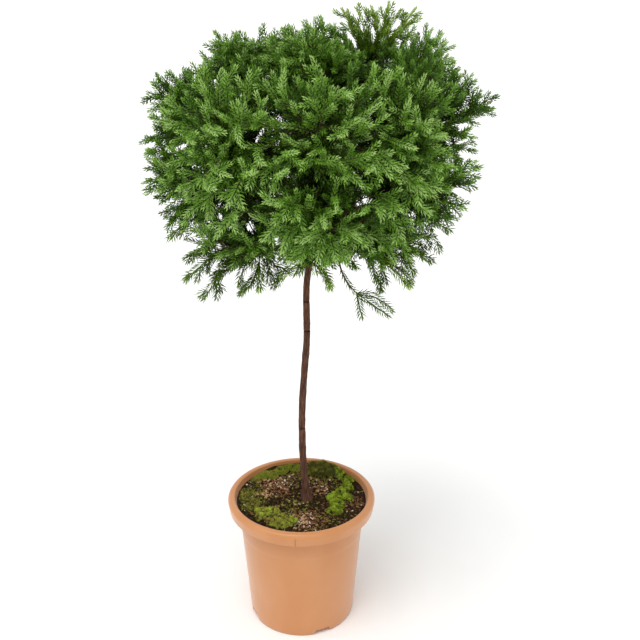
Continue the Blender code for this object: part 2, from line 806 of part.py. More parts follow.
def fuse(name, pieces, workshop, collection, finish):
    """One solid out of overlapping closed pieces."""
    first, *others = pieces
    group = bpy.data.collections.new(f"{name}_pieces")
    workshop.children.link(group)
    for obj in others:
        workshop.objects.unlink(obj)
        group.objects.link(obj)
    union = first.modifiers.new("fuse", "BOOLEAN")
    union.operation = "UNION"
    union.operand_type = "COLLECTION"
    union.collection = group
    union.solver = "EXACT"
    first.name = name
    made = as_mesh(first, collection)
    for obj in others:
        bpy.data.objects.remove(obj, do_unlink=True)
    bpy.data.collections.remove(group)
    made.data.materials.append(finish)
    largest_shell(made)
    return made


def crown_aims(crown):
    """Targets for the twigs, each given to the mass that owns the point."""
    random = np.random.default_rng(SEED)
    dealt = [[] for _ in MASSES]
    for direction in lattice(OUTER_AIMS):
        depth = random.uniform(0.93, 1.0)
        point = CROWN_CENTRE + depth * crown.reach(direction) * direction
        dealt[crown.owner(point)].append(point)
    return dealt


def make_droop(limbs, workshop, collection, bark, green, seat):
    """The spray that hangs free under the crown, on a thin bough of its own."""
    start = trunk_point(DROOP_ATTACH)
    path = bough_path(start, DROOP_ROOT)
    radii = np.linspace(BOUGH_BASE_RADIUS * 0.8, BOUGH_TIP_RADIUS * 0.8, BOUGH_RINGS)
    bough = limb(f"bough_{DROOP_NAME}", path, radii, collection, bark)
    cut(bough, seat, "seat on the trunk")
    root = DROOP_ROOT + CLEAR * unit(DROOP_ROOT - path[-2])
    control = root + 0.5 * np.linalg.norm(DROOP_BEND - root) * unit(DROOP_ROOT - path[-2])
    stem = arc_path(root, control, DROOP_BEND, 9)
    length = path_lengths(stem)[-1]
    rod = straight_form(length, BOUGH_TIP_RADIUS * 0.8, STEM_TIP_RADIUS, 3)
    pieces = [mesh_object("piece_stem", lay_along(rod, stem, 0), workshop)]
    bend_heading = path_heading(stem, length)
    axes = [stem]
    for number, tip in enumerate(DROOP_TIPS):
        reach = np.linalg.norm(tip - DROOP_BEND)
        axis = arc_path(
            DROOP_BEND - 0.004 * bend_heading, DROOP_BEND + 0.35 * reach * bend_heading, tip, 7
        )
        whorls = max(1, round((reach - NEEDLE_LEAN) / WHORL))
        form = lay_along(spray_form(whorls), axis, 0)
        pieces.append(mesh_object(f"piece_{number}", form, workshop))
        axes.append(axis)
    collar = lay_along(spray_form(2), stem, length - spray_length(2) + ROOT)
    pieces.append(mesh_object("piece_collar", collar, workshop))
    fuse(f"mass_{DROOP_NAME}", pieces, workshop, collection, green)
    limbs.append(Limb(bough.name, path, BOUGH_BASE_RADIUS * 0.8))
    limbs.extend(Limb(f"{DROOP_NAME} {n}", axis, NEEDLE_REACH) for n, axis in enumerate(axes))


def main():
    clear_scene()
    plant = new_collection("potted_japanese_cedar")
    cutters = new_collection("cutters")
    cutters.hide_render = True
    workshop = new_collection("workshop")
    terracotta = material("terracotta plastic", (0.66, 0.31, 0.15), 0.45)
    mix = material("potting mix", (0.05, 0.03, 0.02), 0.95)
    moss = material("moss", (0.16, 0.26, 0.03), 0.95)
    bark = material("bark", (0.12, 0.05, 0.03), 0.85)
    green = material("needles", (0.06, 0.17, 0.03), 0.6)
    make_pot(plant, cutters, terracotta)
    make_soil(plant, mix)
    for cushion in MOSS_CUSHIONS:
        make_moss(*cushion, plant, moss)
    trunk_seat = make_trunk(plant, cutters, bark)
    crown = Crown()
    limbs = make_boughs(crown, trunk_seat, plant, cutters, bark)
    centres, radii = trunk_rings()
    limbs.append(Limb("trunk", centres, radii[-1]))
    make_droop(limbs, workshop, plant, bark, green, trunk_seat)
    for k, aims in enumerate(crown_aims(crown)):
        foliage = Foliage(k, crown, limbs, workshop)
        foliage.grow(aims)
        fuse(f"mass_{MASSES[k].name}", foliage.pieces, workshop, plant, green)
    bpy.data.collections.remove(workshop)


main()
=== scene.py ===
"""Looks of a potted Japanese cedar: its pot, potting mix, bark, twigs and needles.

Metres, +Z up, the front of the plant towards -Y.  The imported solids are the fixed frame; every
piece made here rides on the one body, and lies where the solid it stands for lies.

    Container      the turned pot with its rolled rim and foot notches
    PottingMix     the crumbly surface, and the bark chips, perlite and straw that lie on it
    MossBed        cushions of short moss shoots
    Trunk, Boughs  bark with its ridges, on the centre lines of the solids
    Crown          where the lobes of foliage lie and how far they reach
    Foliage        one lobe's stem, twigs and shoots, grown by rule, and the needles on them
    DroopingSpray  the one spray that hangs free
    Canopy         every lobe, gathered into pieces by side
    Studio         pale floor, soft light and the camera
"""

import logging
import math
from dataclasses import dataclass, field, replace
from enum import Enum, IntEnum
from typing import Any

import bpy
import numpy as np
from numpy.typing import NDArray
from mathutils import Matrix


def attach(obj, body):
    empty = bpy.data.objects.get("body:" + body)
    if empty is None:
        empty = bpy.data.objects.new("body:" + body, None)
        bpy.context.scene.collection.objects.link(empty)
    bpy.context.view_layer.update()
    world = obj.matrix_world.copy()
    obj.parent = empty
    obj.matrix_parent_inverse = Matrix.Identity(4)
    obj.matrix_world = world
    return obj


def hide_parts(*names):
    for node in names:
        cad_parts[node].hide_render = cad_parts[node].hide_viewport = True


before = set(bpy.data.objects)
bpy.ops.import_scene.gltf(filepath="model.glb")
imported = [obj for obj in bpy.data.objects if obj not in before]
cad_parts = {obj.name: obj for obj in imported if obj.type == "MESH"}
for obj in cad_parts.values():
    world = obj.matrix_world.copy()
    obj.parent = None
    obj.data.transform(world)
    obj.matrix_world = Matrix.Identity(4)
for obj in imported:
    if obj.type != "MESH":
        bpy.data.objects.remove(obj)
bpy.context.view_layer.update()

Array = NDArray[np.float64]
Faces = NDArray[np.int64]
Chance = np.random.Generator
Pair = tuple[float, float]
Triple = tuple[float, float, float]
Colour = Triple
Spot = tuple[float, float, float, float]
Node = bpy.types.Node
NodeTree = bpy.types.NodeTree
Material = bpy.types.Material
Piece = bpy.types.Object

log = logging.getLogger("cedar")

BODY = "root"
SEED = 41
VIEWPOINT = (0.0354, -1.5, 1.190)
VIEW_DROP = 21.2  # degrees below level
TURN = math.tau
GOLDEN_TURN = math.pi * (3 - math.sqrt(5))
MILLIMETRES = 1000  # in a metre
HASH_FACTORS = (73856093, 19349663, 83492791)
SEED_FACTOR = 2654435761
MIXING_FACTOR = 1274126177
WORD = 0xFFFFFFFF
HALF_WORD = 0xFFFF


def own_array(rows: tuple) -> Any:
    """A dataclass field whose default is an array of these rows, made anew for each object."""
    return field(default_factory=lambda: np.array(rows))


# ---- vectors
def unit(vectors: Array) -> Array:
    """Vectors along the last axis, each divided by its own length."""
    return vectors / np.linalg.norm(vectors, axis=-1, keepdims=True)


def even_turn(count: int) -> Array:
    """Angles in even steps once round."""
    return np.linspace(0, TURN, count, endpoint=False)


def towards(azimuth: float, elevation: float) -> Array:
    """Unit vector for an azimuth from +X and an elevation, both in degrees."""
    a, e = math.radians(azimuth), math.radians(elevation)
    return np.array([math.cos(e) * math.cos(a), math.cos(e) * math.sin(a), math.sin(e)])


def lattice(count: int) -> Array:
    """Even directions over a sphere: heights step evenly and each turns by the golden angle.

    Args:
        count: Number of directions.

    Returns:
        Unit vectors, one a row.
    """
    k = np.arange(count)
    height = 1 - (2 * k + 1) / count
    ring = np.sqrt(1 - height**2)
    return np.column_stack([ring * np.cos(GOLDEN_TURN * k), ring * np.sin(GOLDEN_TURN * k), height])


def smoothstep(x: Array, low: float, high: float) -> Array:
    """0 below low and 1 above high, with 3t^2 - 2t^3 between them."""
    t = np.clip((x - low) / (high - low), 0, 1)
    return t * t * (3 - 2 * t)


def arc_path(start: Array, control: Array, end: Array, count: int) -> Array:
    """Parabola (1-t)^2 start + 2t(1-t) control + t^2 end, at evenly spaced t.

    Args:
        start: First point.
        control: Where the tangents of the two ends meet.
        end: Last point.
        count: Number of points.

    Returns:
        The points, one a row.
    """
    t = np.linspace(0, 1, count)[:, None]
    return (1 - t) ** 2 * start + 2 * t * (1 - t) * control + t**2 * end


def path_lengths(path: Array) -> Array:
    """Distance along a path from its start to each of its points."""
    return np.concatenate([[0], np.cumsum(np.linalg.norm(np.diff(path, axis=0), axis=1))])


def path_points(path: Array, distances: Array) -> Array:
    """Points of a path at distances from its start, by straight runs between its points."""
    lengths = path_lengths(path)
    return np.column_stack([np.interp(distances, lengths, path[:, k]) for k in range(3)])


def path_headings(path: Array, distances: Array) -> Array:
    """Unit tangents of a path, by differences between its points.

    Args:
        path: The points, one a row.
        distances: Where the tangents are wanted, from its start.

    Returns:
        One unit vector a distance.
    """
    lengths = path_lengths(path)
    tangents = unit(np.gradient(path, lengths, axis=0))
    return unit(np.column_stack([np.interp(distances, lengths, tangents[:, k]) for k in range(3)]))


def sides_of(headings: Array) -> tuple[Array, Array]:
    """Two unit vectors square to each heading and to each other, the second one upwards.

    Args:
        headings: Unit vectors, one a row.

    Returns:
        The sideways and the upward vectors, one a row each.
    """
    across = np.cross(headings, (0.0, 0.0, 1.0))
    upright = np.linalg.norm(across, axis=-1) < 1e-3
    across[upright] = (1.0, 0.0, 0.0)
    across = unit(across)
    return across, np.cross(across, headings)


def value_noise(points: Array, seed: int) -> Array:
    """Smooth noise: random values on the whole-number lattice, blended by smoothstep in each axis.

    Args:
        points: Places, one a row, in lattice steps.
        seed: Which noise.

    Returns:
        Values from -1 to 1, one a point.
    """
    cell = np.floor(points).astype(np.int64)
    t = points - cell
    t = t * t * (3 - 2 * t)
    total = np.zeros(len(points))
    for step in np.ndindex(2, 2, 2):
        mixed = np.bitwise_xor.reduce((cell + step) * HASH_FACTORS, axis=1) ^ seed * SEED_FACTOR
        mixed = (mixed ^ (mixed >> 13)) * MIXING_FACTOR & WORD
        value = (mixed ^ (mixed >> 16)) & HALF_WORD
        weight = np.prod(np.where(step, t, 1 - t), axis=1)
        total += weight * (value / (HALF_WORD / 2) - 1)
    return total


def fractal(points: Array, seed: int, octaves: int = 3) -> Array:
    """Sum of value noises, each of twice the fineness and half the height of the last."""
    return sum(0.5**k * value_noise(points * 2**k, seed + k) for k in range(octaves))


# ---- meshes
@dataclass
class Surface:
    """Shapes gathered as arrays, to become one mesh with several finishes."""

    points: list[Array] = field(default_factory=list)
    faces: list[Faces] = field(default_factory=list)
    tones: list[Faces] = field(default_factory=list)
    count: int = 0

    def add(self, points: Array, faces: Faces, tone: int | Faces = 0) -> None:
        """Adds one shape.

        Args:
            points: Its vertices.
            faces: Triangles or quads, as rows of indices into its vertices.
            tone: Finish of its faces, one for all or one each.
        """
        self.points.append(points)
        self.faces.append(faces + self.count)
        self.tones.append(np.broadcast_to(np.asarray(tone), len(faces)))
        self.count += len(points)

    def triangles(self) -> int:
        """Number of triangles that the shapes make."""
        return sum(len(f) * (f.shape[1] - 2) for f in self.faces)

    def to_object(self, name: str, finishes: list[Material], smooth: bool) -> Piece:
        """Makes the mesh and its object.

        Args:
            name: Name of the piece.
            finishes: Materials, in the order of the tones.
            smooth: Whether its faces are shaded smooth.

        Returns:
            The new object, at the origin.
        """
        mesh = bpy.data.meshes.new(name)
        points = np.concatenate(self.points)
        corners = np.concatenate([f.ravel() for f in self.faces])
        sizes = np.concatenate([np.full(len(f), f.shape[1]) for f in self.faces])
        mesh.vertices.add(len(points))
        mesh.vertices.foreach_set("co", points.astype(np.float32).ravel())
        mesh.loops.add(len(corners))
        mesh.loops.foreach_set("vertex_index", corners.astype(np.int32))
        mesh.polygons.add(len(sizes))
        mesh.polygons.foreach_set("loop_start", (np.cumsum(sizes) - sizes).astype(np.int32))
        mesh.polygons.foreach_set("material_index", np.concatenate(self.tones).astype(np.int32))
        mesh.polygons.foreach_set("use_smooth", np.full(len(sizes), smooth))
        mesh.update(calc_edges=True)
        mesh.validate()
        for finish in finishes:
            mesh.materials.append(finish)
        obj = bpy.data.objects.new(name, mesh)
        bpy.context.scene.collection.objects.link(obj)
        return obj


def grid_faces(rows: int, columns: int, wrapped: bool) -> Faces:
    """Quads between the points of a grid stored row by row.

    Args:
        rows: Points from the first row to the last.
        columns: Points in a row.
        wrapped: Whether the last column joins the first.

    Returns:
        Quads that face out where rows run along a path and columns turn counter-clockwise.
    """
    r, c = np.meshgrid(np.arange(rows - 1), np.arange(columns - (not wrapped)), indexing="ij")
    here, below = r.ravel() * columns, (r.ravel() + 1) * columns
    c = c.ravel()
    on = (c + 1) % columns
    return np.column_stack([here + c, here + on, below + on, below + c])


def repeated(one: Faces, points: int, count: int) -> Faces:
    """The faces of a shape repeated for each of its copies, stored one after another."""
    return (one[None] + points * np.arange(count)[:, None, None]).reshape(-1, one.shape[1])


def closed_lathe(points: Array, steps: int, hubs: Pair) -> Surface:
    """A turned body: quads between its rings, and a fan from a hub over the first and last ring.

    Args:
        points: Its rings, one after another, clockwise on the outside.
        steps: Points in a ring.
        hubs: Heights of the two hubs on the axis.

    Returns:
        The closed surface.
    """
    rows, first = len(points) // steps, np.arange(steps)
    hub, last, on = rows * steps, first + (rows - 1) * steps, np.roll(first, -1)
    surface = Surface()
    middle = np.array([[0, 0, height] for height in hubs])
    surface.add(np.vstack([points, middle]), grid_faces(rows, steps, wrapped=True)[:, ::-1])
    surface.faces.append(np.column_stack([np.full(steps, hub), first, on]))
    surface.faces.append(np.column_stack([np.full(steps, hub + 1), last[on], last]))
    surface.tones += [np.zeros(steps, int)] * 2
    return surface


def tube(path: Array, radii: Array, sides: int) -> tuple[Array, Faces]:
    """Round limb: path point + radius x (cos u across + sin u up), with u once round each ring.

    Args:
        path: Centre line.
        radii: Radius at each of its points, or for each point and side.
        sides: Points round the limb.

    Returns:
        Vertices and quads; the ends are open.
    """
    across, upwards = sides_of(path_headings(path, path_lengths(path)))
    u = even_turn(sides)[None, :, None]
    ring = np.cos(u) * across[:, None] + np.sin(u) * upwards[:, None]
    reach = np.broadcast_to(np.reshape(radii, (len(path), -1)), (len(path), sides))
    points = path[:, None] + reach[..., None] * ring
    return points.reshape(-1, 3), grid_faces(len(path), sides, wrapped=True)


def capped_tube(path: Array, radii: Array, sides: int) -> tuple[Array, Faces]:
    """A tube whose two ends close, by rings of next to no radius just past them.

    Args:
        path: Centre line.
        radii: Radius at each of its points, or for each point and side.
        sides: Points round the limb.

    Returns:
        Vertices and quads.
    """
    tiny = 1e-6
    closed = np.vstack([path[:1], path, path[-1:]])
    closed[0] -= tiny * unit(path[1] - path[0])
    closed[-1] += tiny * unit(path[-1] - path[-2])
    radii = np.reshape(radii, (len(path), -1))
    ends = np.full((1, radii.shape[1]), tiny)
    return tube(closed, np.vstack([ends, radii, ends]), sides)


def limb_noise_places(u: Array, along: Array, around: float, lengthwise: float) -> Array:
    """Where each point of a limb lies in a noise that closes round it.

    A point at angle u and distance l is at (around cos u, around sin u, lengthwise l).

    Args:
        u: Angles of the points of a ring.
        along: Distances of the rings.
        around: Lattice steps in the radius.
        lengthwise: Lattice steps in a metre of length.

    Returns:
        Places, one a row, ring by ring.
    """
    ring = np.column_stack([np.cos(u), np.sin(u)])
    return np.concatenate([
        np.repeat(ring[None] * around, len(along), axis=0),
        np.repeat(along[:, None, None] * lengthwise, len(u), axis=1),
    ], axis=-1).reshape(-1, 3)


def revolve(profile: Array, angles: Array) -> Array:
    """Points (r cos a, r sin a, z) of a profile of (r, z) rows, turned to each angle.

    Args:
        profile: Radius and height, as rows, or as rows for each angle.
        angles: Where the profile is turned to.

    Returns:
        Vertices, stored profile point by profile point.
    """
    spread = np.broadcast_to(profile.reshape(len(profile), -1, 2), (len(profile), len(angles), 2))
    radius, height = spread[..., 0], spread[..., 1]
    points = np.stack([radius * np.cos(angles), radius * np.sin(angles), height], axis=-1)
    return points.reshape(-1, 3)


def corner(
    centre: Pair, radius: float, start: float, end: float, count: int
) -> Array:
    """Points of a rounded corner in a profile, between two angles in degrees."""
    a = np.radians(np.linspace(start, end, count))
    return np.column_stack([centre[0] + radius * np.cos(a), centre[1] + radius * np.sin(a)])


# ---- finishes
def set_sockets(node: Node, **values: float | tuple[float, ...]) -> None:
    """Sets a node's own sockets; _ stands for each space in a socket's name."""
    for name, value in values.items():
        node.inputs[name.replace("_", " ")].default_value = value


def link(source: Node, output: str, target: Node, socket: str) -> None:
    """Leads an output of a node to a socket of another one of its tree."""
    target.id_data.links.new(source.outputs[output], target.inputs[socket])


def new_material(name: str, gloss: float) -> tuple[Material, Node]:
    """A new material.

    Args:
        name: Its name.
        gloss: Specular level of its surface.

    Returns:
        The material and its Principled shader.
    """
    made = bpy.data.materials.new(name)
    made.use_nodes = True
    shader = made.node_tree.nodes["Principled BSDF"]
    set_sockets(shader, Specular_IOR_Level=gloss)
    return made, shader


def noise_node(
    tree: NodeTree, scale: float, stretch: Triple = (1, 1, 1)
) -> Node:
    """A noise texture on Object coordinates.

    Args:
        tree: Where it goes.
        scale: Cells in a metre, before the stretch.
        stretch: Factor on the coordinates, by axis.

    Returns:
        The noise node.
    """
    where = tree.nodes.new("ShaderNodeTexCoord")
    mapping = tree.nodes.new("ShaderNodeMapping")
    noise = tree.nodes.new("ShaderNodeTexNoise")
    set_sockets(mapping, Scale=stretch)
    set_sockets(noise, Scale=scale, Detail=4)
    link(where, "Object", mapping, "Vector")
    link(mapping, "Vector", noise, "Vector")
    return noise


def add_ramp(shader: Node, source: Node, stops: tuple[tuple[float, Colour], ...]) -> None:
    """Colours the surface by a ramp over a noise.

    Args:
        shader: The material's Principled shader.
        source: The noise node.
        stops: Position and linear colour of each stop.
    """
    ramp = shader.id_data.nodes.new("ShaderNodeValToRGB")
    while len(ramp.color_ramp.elements) < len(stops):
        ramp.color_ramp.elements.new(0.5)
    for element, (position, colour) in zip(ramp.color_ramp.elements, stops, strict=True):
        element.position = position
        element.color = (*colour, 1)
    link(source, "Fac", ramp, "Fac")
    link(ramp, "Color", shader, "Base Color")


def add_bump(shader: Node, source: Node, strength: float, depth: float) -> None:
    """Lets a noise raise the surface.

    Args:
        shader: The material's Principled shader.
        source: The noise node.
        strength: Share of the relief that shows.
        depth: Height of the relief in metres.
    """
    bump = shader.id_data.nodes.new("ShaderNodeBump")
    set_sockets(bump, Strength=strength, Distance=depth)
    link(source, "Fac", bump, "Height")
    link(bump, "Normal", shader, "Normal")


@dataclass(frozen=True)
class MottledFinish:
    """A rough surface whose colour wanders between stops along a stretched noise."""

    name: str
    stops: tuple[tuple[float, Colour], ...]
    scale: float
    stretch: Triple = (1.0, 1.0, 1.0)
    roughness: float = 0.9
    relief: float = 0.0005
    relief_strength: float = 0.8
    relief_fineness: float = 3.0
    gloss: float = 0.3

    def build(self) -> Material:
        """Makes the material."""
        made, shader = new_material(self.name, self.gloss)
        set_sockets(shader, Roughness=self.roughness)
        add_ramp(shader, noise_node(made.node_tree, self.scale, self.stretch), self.stops)
        fine = noise_node(made.node_tree, self.scale * self.relief_fineness, self.stretch)
        add_bump(shader, fine, self.relief_strength, self.relief)
        return made


@dataclass(frozen=True)
class NeedleFinish:
    """One green of the needles: a plain colour with a waxy gloss and a fine grain."""

    name: str
    colour: Colour
    roughness: float = 0.42
    gloss: float = 0.35
    grain_scale: float = 900
    grain_strength: float = 0.3
    grain: float = 0.0002
    olive_shift: Colour = (1.45, 1.15, 1.0)

    def build(self) -> Material:
        """Makes the material."""
        made, shader = new_material(self.name, self.gloss)
        set_sockets(shader, Base_Color=(*self.colour, 1), Roughness=self.roughness)
        grain = noise_node(made.node_tree, self.grain_scale)
        add_bump(shader, grain, self.grain_strength, self.grain)
        return made

    def olive(self) -> "NeedleFinish":
        """The same green as it is on the long free sprays: yellower."""
        red, green, blue = (k * c for k, c in zip(self.olive_shift, self.colour, strict=True))
        return replace(self, name="olive " + self.name, colour=(red, green, blue))


@dataclass(frozen=True)
class PlasticFinish:
    """Moulded plastic: a satin colour with a faint bloom, scuffs in its gloss, and pores."""

    name: str = "terracotta plastic"
    colour: Colour = (0.575, 0.238, 0.079)
    bloom: Colour = (0.615, 0.270, 0.104)
    bloom_scale: float = 14
    bloom_stretch: Triple = (1, 1, 0.6)
    smooth_roughness: float = 0.32
    worn_roughness: float = 0.46
    scuff_scale: float = 120
    scuff_stretch: Triple = (1, 1, 0.35)
    gloss: float = 0.45
    sheen: float = 0.30
    sheen_roughness: float = 0.45
    pore_scale: float = 1400
    pore_strength: float = 0.12
    pore_depth: float = 0.0002

    def build(self) -> Material:
        """Makes the material."""
        made, shader = new_material(self.name, self.gloss)
        tree = made.node_tree
        clouds = noise_node(tree, self.bloom_scale, self.bloom_stretch)
        add_ramp(shader, clouds, ((0.35, self.colour), (0.68, self.bloom)))
        scuffs = noise_node(tree, self.scuff_scale, self.scuff_stretch)
        spread = tree.nodes.new("ShaderNodeMapRange")
        set_sockets(spread, To_Min=self.smooth_roughness, To_Max=self.worn_roughness)
        link(scuffs, "Fac", spread, "Value")
        link(spread, "Result", shader, "Roughness")
        set_sockets(shader, Sheen_Weight=self.sheen, Sheen_Roughness=self.sheen_roughness)
        pores = noise_node(tree, self.pore_scale)
        add_bump(shader, pores, self.pore_strength, self.pore_depth)
        return made


def two_tone(
    name: str, dark: Colour, pale: Colour, scale: float = 300, gloss: float = 0.3
) -> MottledFinish:
    """The finish of a small thing, which wanders between two colours."""
    return MottledFinish(name, ((0.3, dark), (0.7, pale)), scale, gloss=gloss)


TRUNK_BARK = MottledFinish(
    "stem bark",
    (
        (0.25, (0.035, 0.014, 0.009)),
        (0.5, (0.105, 0.045, 0.026)),
        (0.66, (0.16, 0.075, 0.045)),
        (0.8, (0.36, 0.24, 0.16)),
    ),
    scale=420,
    stretch=(1, 1, 0.16),
    relief=0.0008,
)
BOUGH_BARK = MottledFinish(
    "bough bark",
    ((0.3, (0.045, 0.020, 0.010)), (0.55, (0.11, 0.052, 0.026)), (0.75, (0.20, 0.11, 0.055))),
    scale=500,
    stretch=(1, 1, 0.5),
)
TWIG_BARK = MottledFinish(
    "twig bark", ((0.35, (0.045, 0.034, 0.012)), (0.65, (0.10, 0.07, 0.025))), 300, relief=0.0003
)
GREEN_TWIG = MottledFinish(
    "green twig", ((0.35, (0.040, 0.080, 0.012)), (0.65, (0.085, 0.145, 0.025))), 300, relief=0.0002
)
MIX = MottledFinish(
    "potting mix",
    (
        (0.28, (0.006, 0.003, 0.001)),
        (0.5, (0.026, 0.014, 0.005)),
        (0.66, (0.065, 0.036, 0.014)),
        (0.82, (0.14, 0.085, 0.040)),
    ),
    scale=300,
    relief=0.0020,
    gloss=0.12,
)


class LitterTone(IntEnum):
    """What lies on the mix, as finishes of its mesh."""

    CHIP = 0
    PALE_CHIP = 1
    PERLITE = 2
    STRAW = 3
    CRUMB = 4


LITTER_FINISHES = (
    two_tone("bark chip", (0.10, 0.038, 0.014), (0.25, 0.115, 0.050), 260, 0.2),
    two_tone("pale wood chip", (0.32, 0.17, 0.085), (0.62, 0.39, 0.23), 260, 0.2),
    two_tone("perlite", (0.66, 0.50, 0.38), (0.90, 0.80, 0.68), 500),
    two_tone("straw", (0.30, 0.22, 0.10), (0.56, 0.46, 0.26)),
    MIX,
)


class MossTone(IntEnum):
    """Greens of the moss, as finishes of its mesh."""

    GROUND = 0
    OLIVE = 1
    GREEN = 2
    BRIGHT = 3
    LIME = 4
    STRAW = 5


MOSS_FINISHES = (
    two_tone("moss ground", (0.016, 0.014, 0.003), (0.050, 0.048, 0.010), 400, 0.1),
    two_tone("olive moss", (0.250, 0.225, 0.032), (0.500, 0.465, 0.095), gloss=0.2),
    two_tone("green moss", (0.075, 0.090, 0.012), (0.175, 0.185, 0.034), gloss=0.2),
    two_tone("bright moss", (0.180, 0.250, 0.008), (0.330, 0.430, 0.035), gloss=0.2),
    two_tone("lime moss", (0.360, 0.480, 0.030), (0.540, 0.680, 0.090), gloss=0.2),
    two_tone("dry moss", (0.300, 0.230, 0.100), (0.520, 0.420, 0.210), gloss=0.2),
)


class Tone(IntEnum):
    """Greens of the needles, dealt out by shoot, as finishes of their mesh. The darker greens are
    partly painted shade for the inside and shaded side of the crown, and the lighter ones are
    partly painted light; the tip green holds a painted highlight.
    """

    DEEP_SHADE = 0
    SHADE = 1
    DARK = 2
    MIDDLE = 3
    FRESH = 4
    LIGHT = 5
    TIP = 6


# Lit and shaded copies of one green, from darkest to lightest. The dark end is painted shade, and
# the paler, bluer light and tip greens hold a painted highlight that stands in for the gloss on lit
# needles.
NEEDLE_FINISHES = (
    NeedleFinish("needles deep shade", (0.014, 0.038, 0.001), 0.65, 0.15),
    NeedleFinish("needles shade", (0.030, 0.078, 0.003), 0.6, 0.2),
    NeedleFinish("needles dark", (0.050, 0.128, 0.004), 0.5, 0.3),
    NeedleFinish("needles middle", (0.085, 0.198, 0.009)),
    NeedleFinish("needles fresh", (0.136, 0.292, 0.020)),
    NeedleFinish("needles light", (0.220, 0.415, 0.055)),
    NeedleFinish("needles tip highlight", (0.350, 0.550, 0.140), 0.40),
)
OLIVE_FINISHES = tuple(finish.olive() for finish in NEEDLE_FINISHES)


def place(obj: Piece, slot: str, *nodes: str) -> Piece:
    """Sets a finished piece on the body, hides the solids that it replaces and logs its faces.

    Args:
        obj: The piece.
        slot: Not used.
        nodes: Solids that it replaces.

    Returns:
        The piece.
    """
    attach(obj, BODY)
    if nodes:
        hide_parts(*nodes)
    log.info("%s: %d faces", obj.name, len(obj.data.polygons))
    return obj


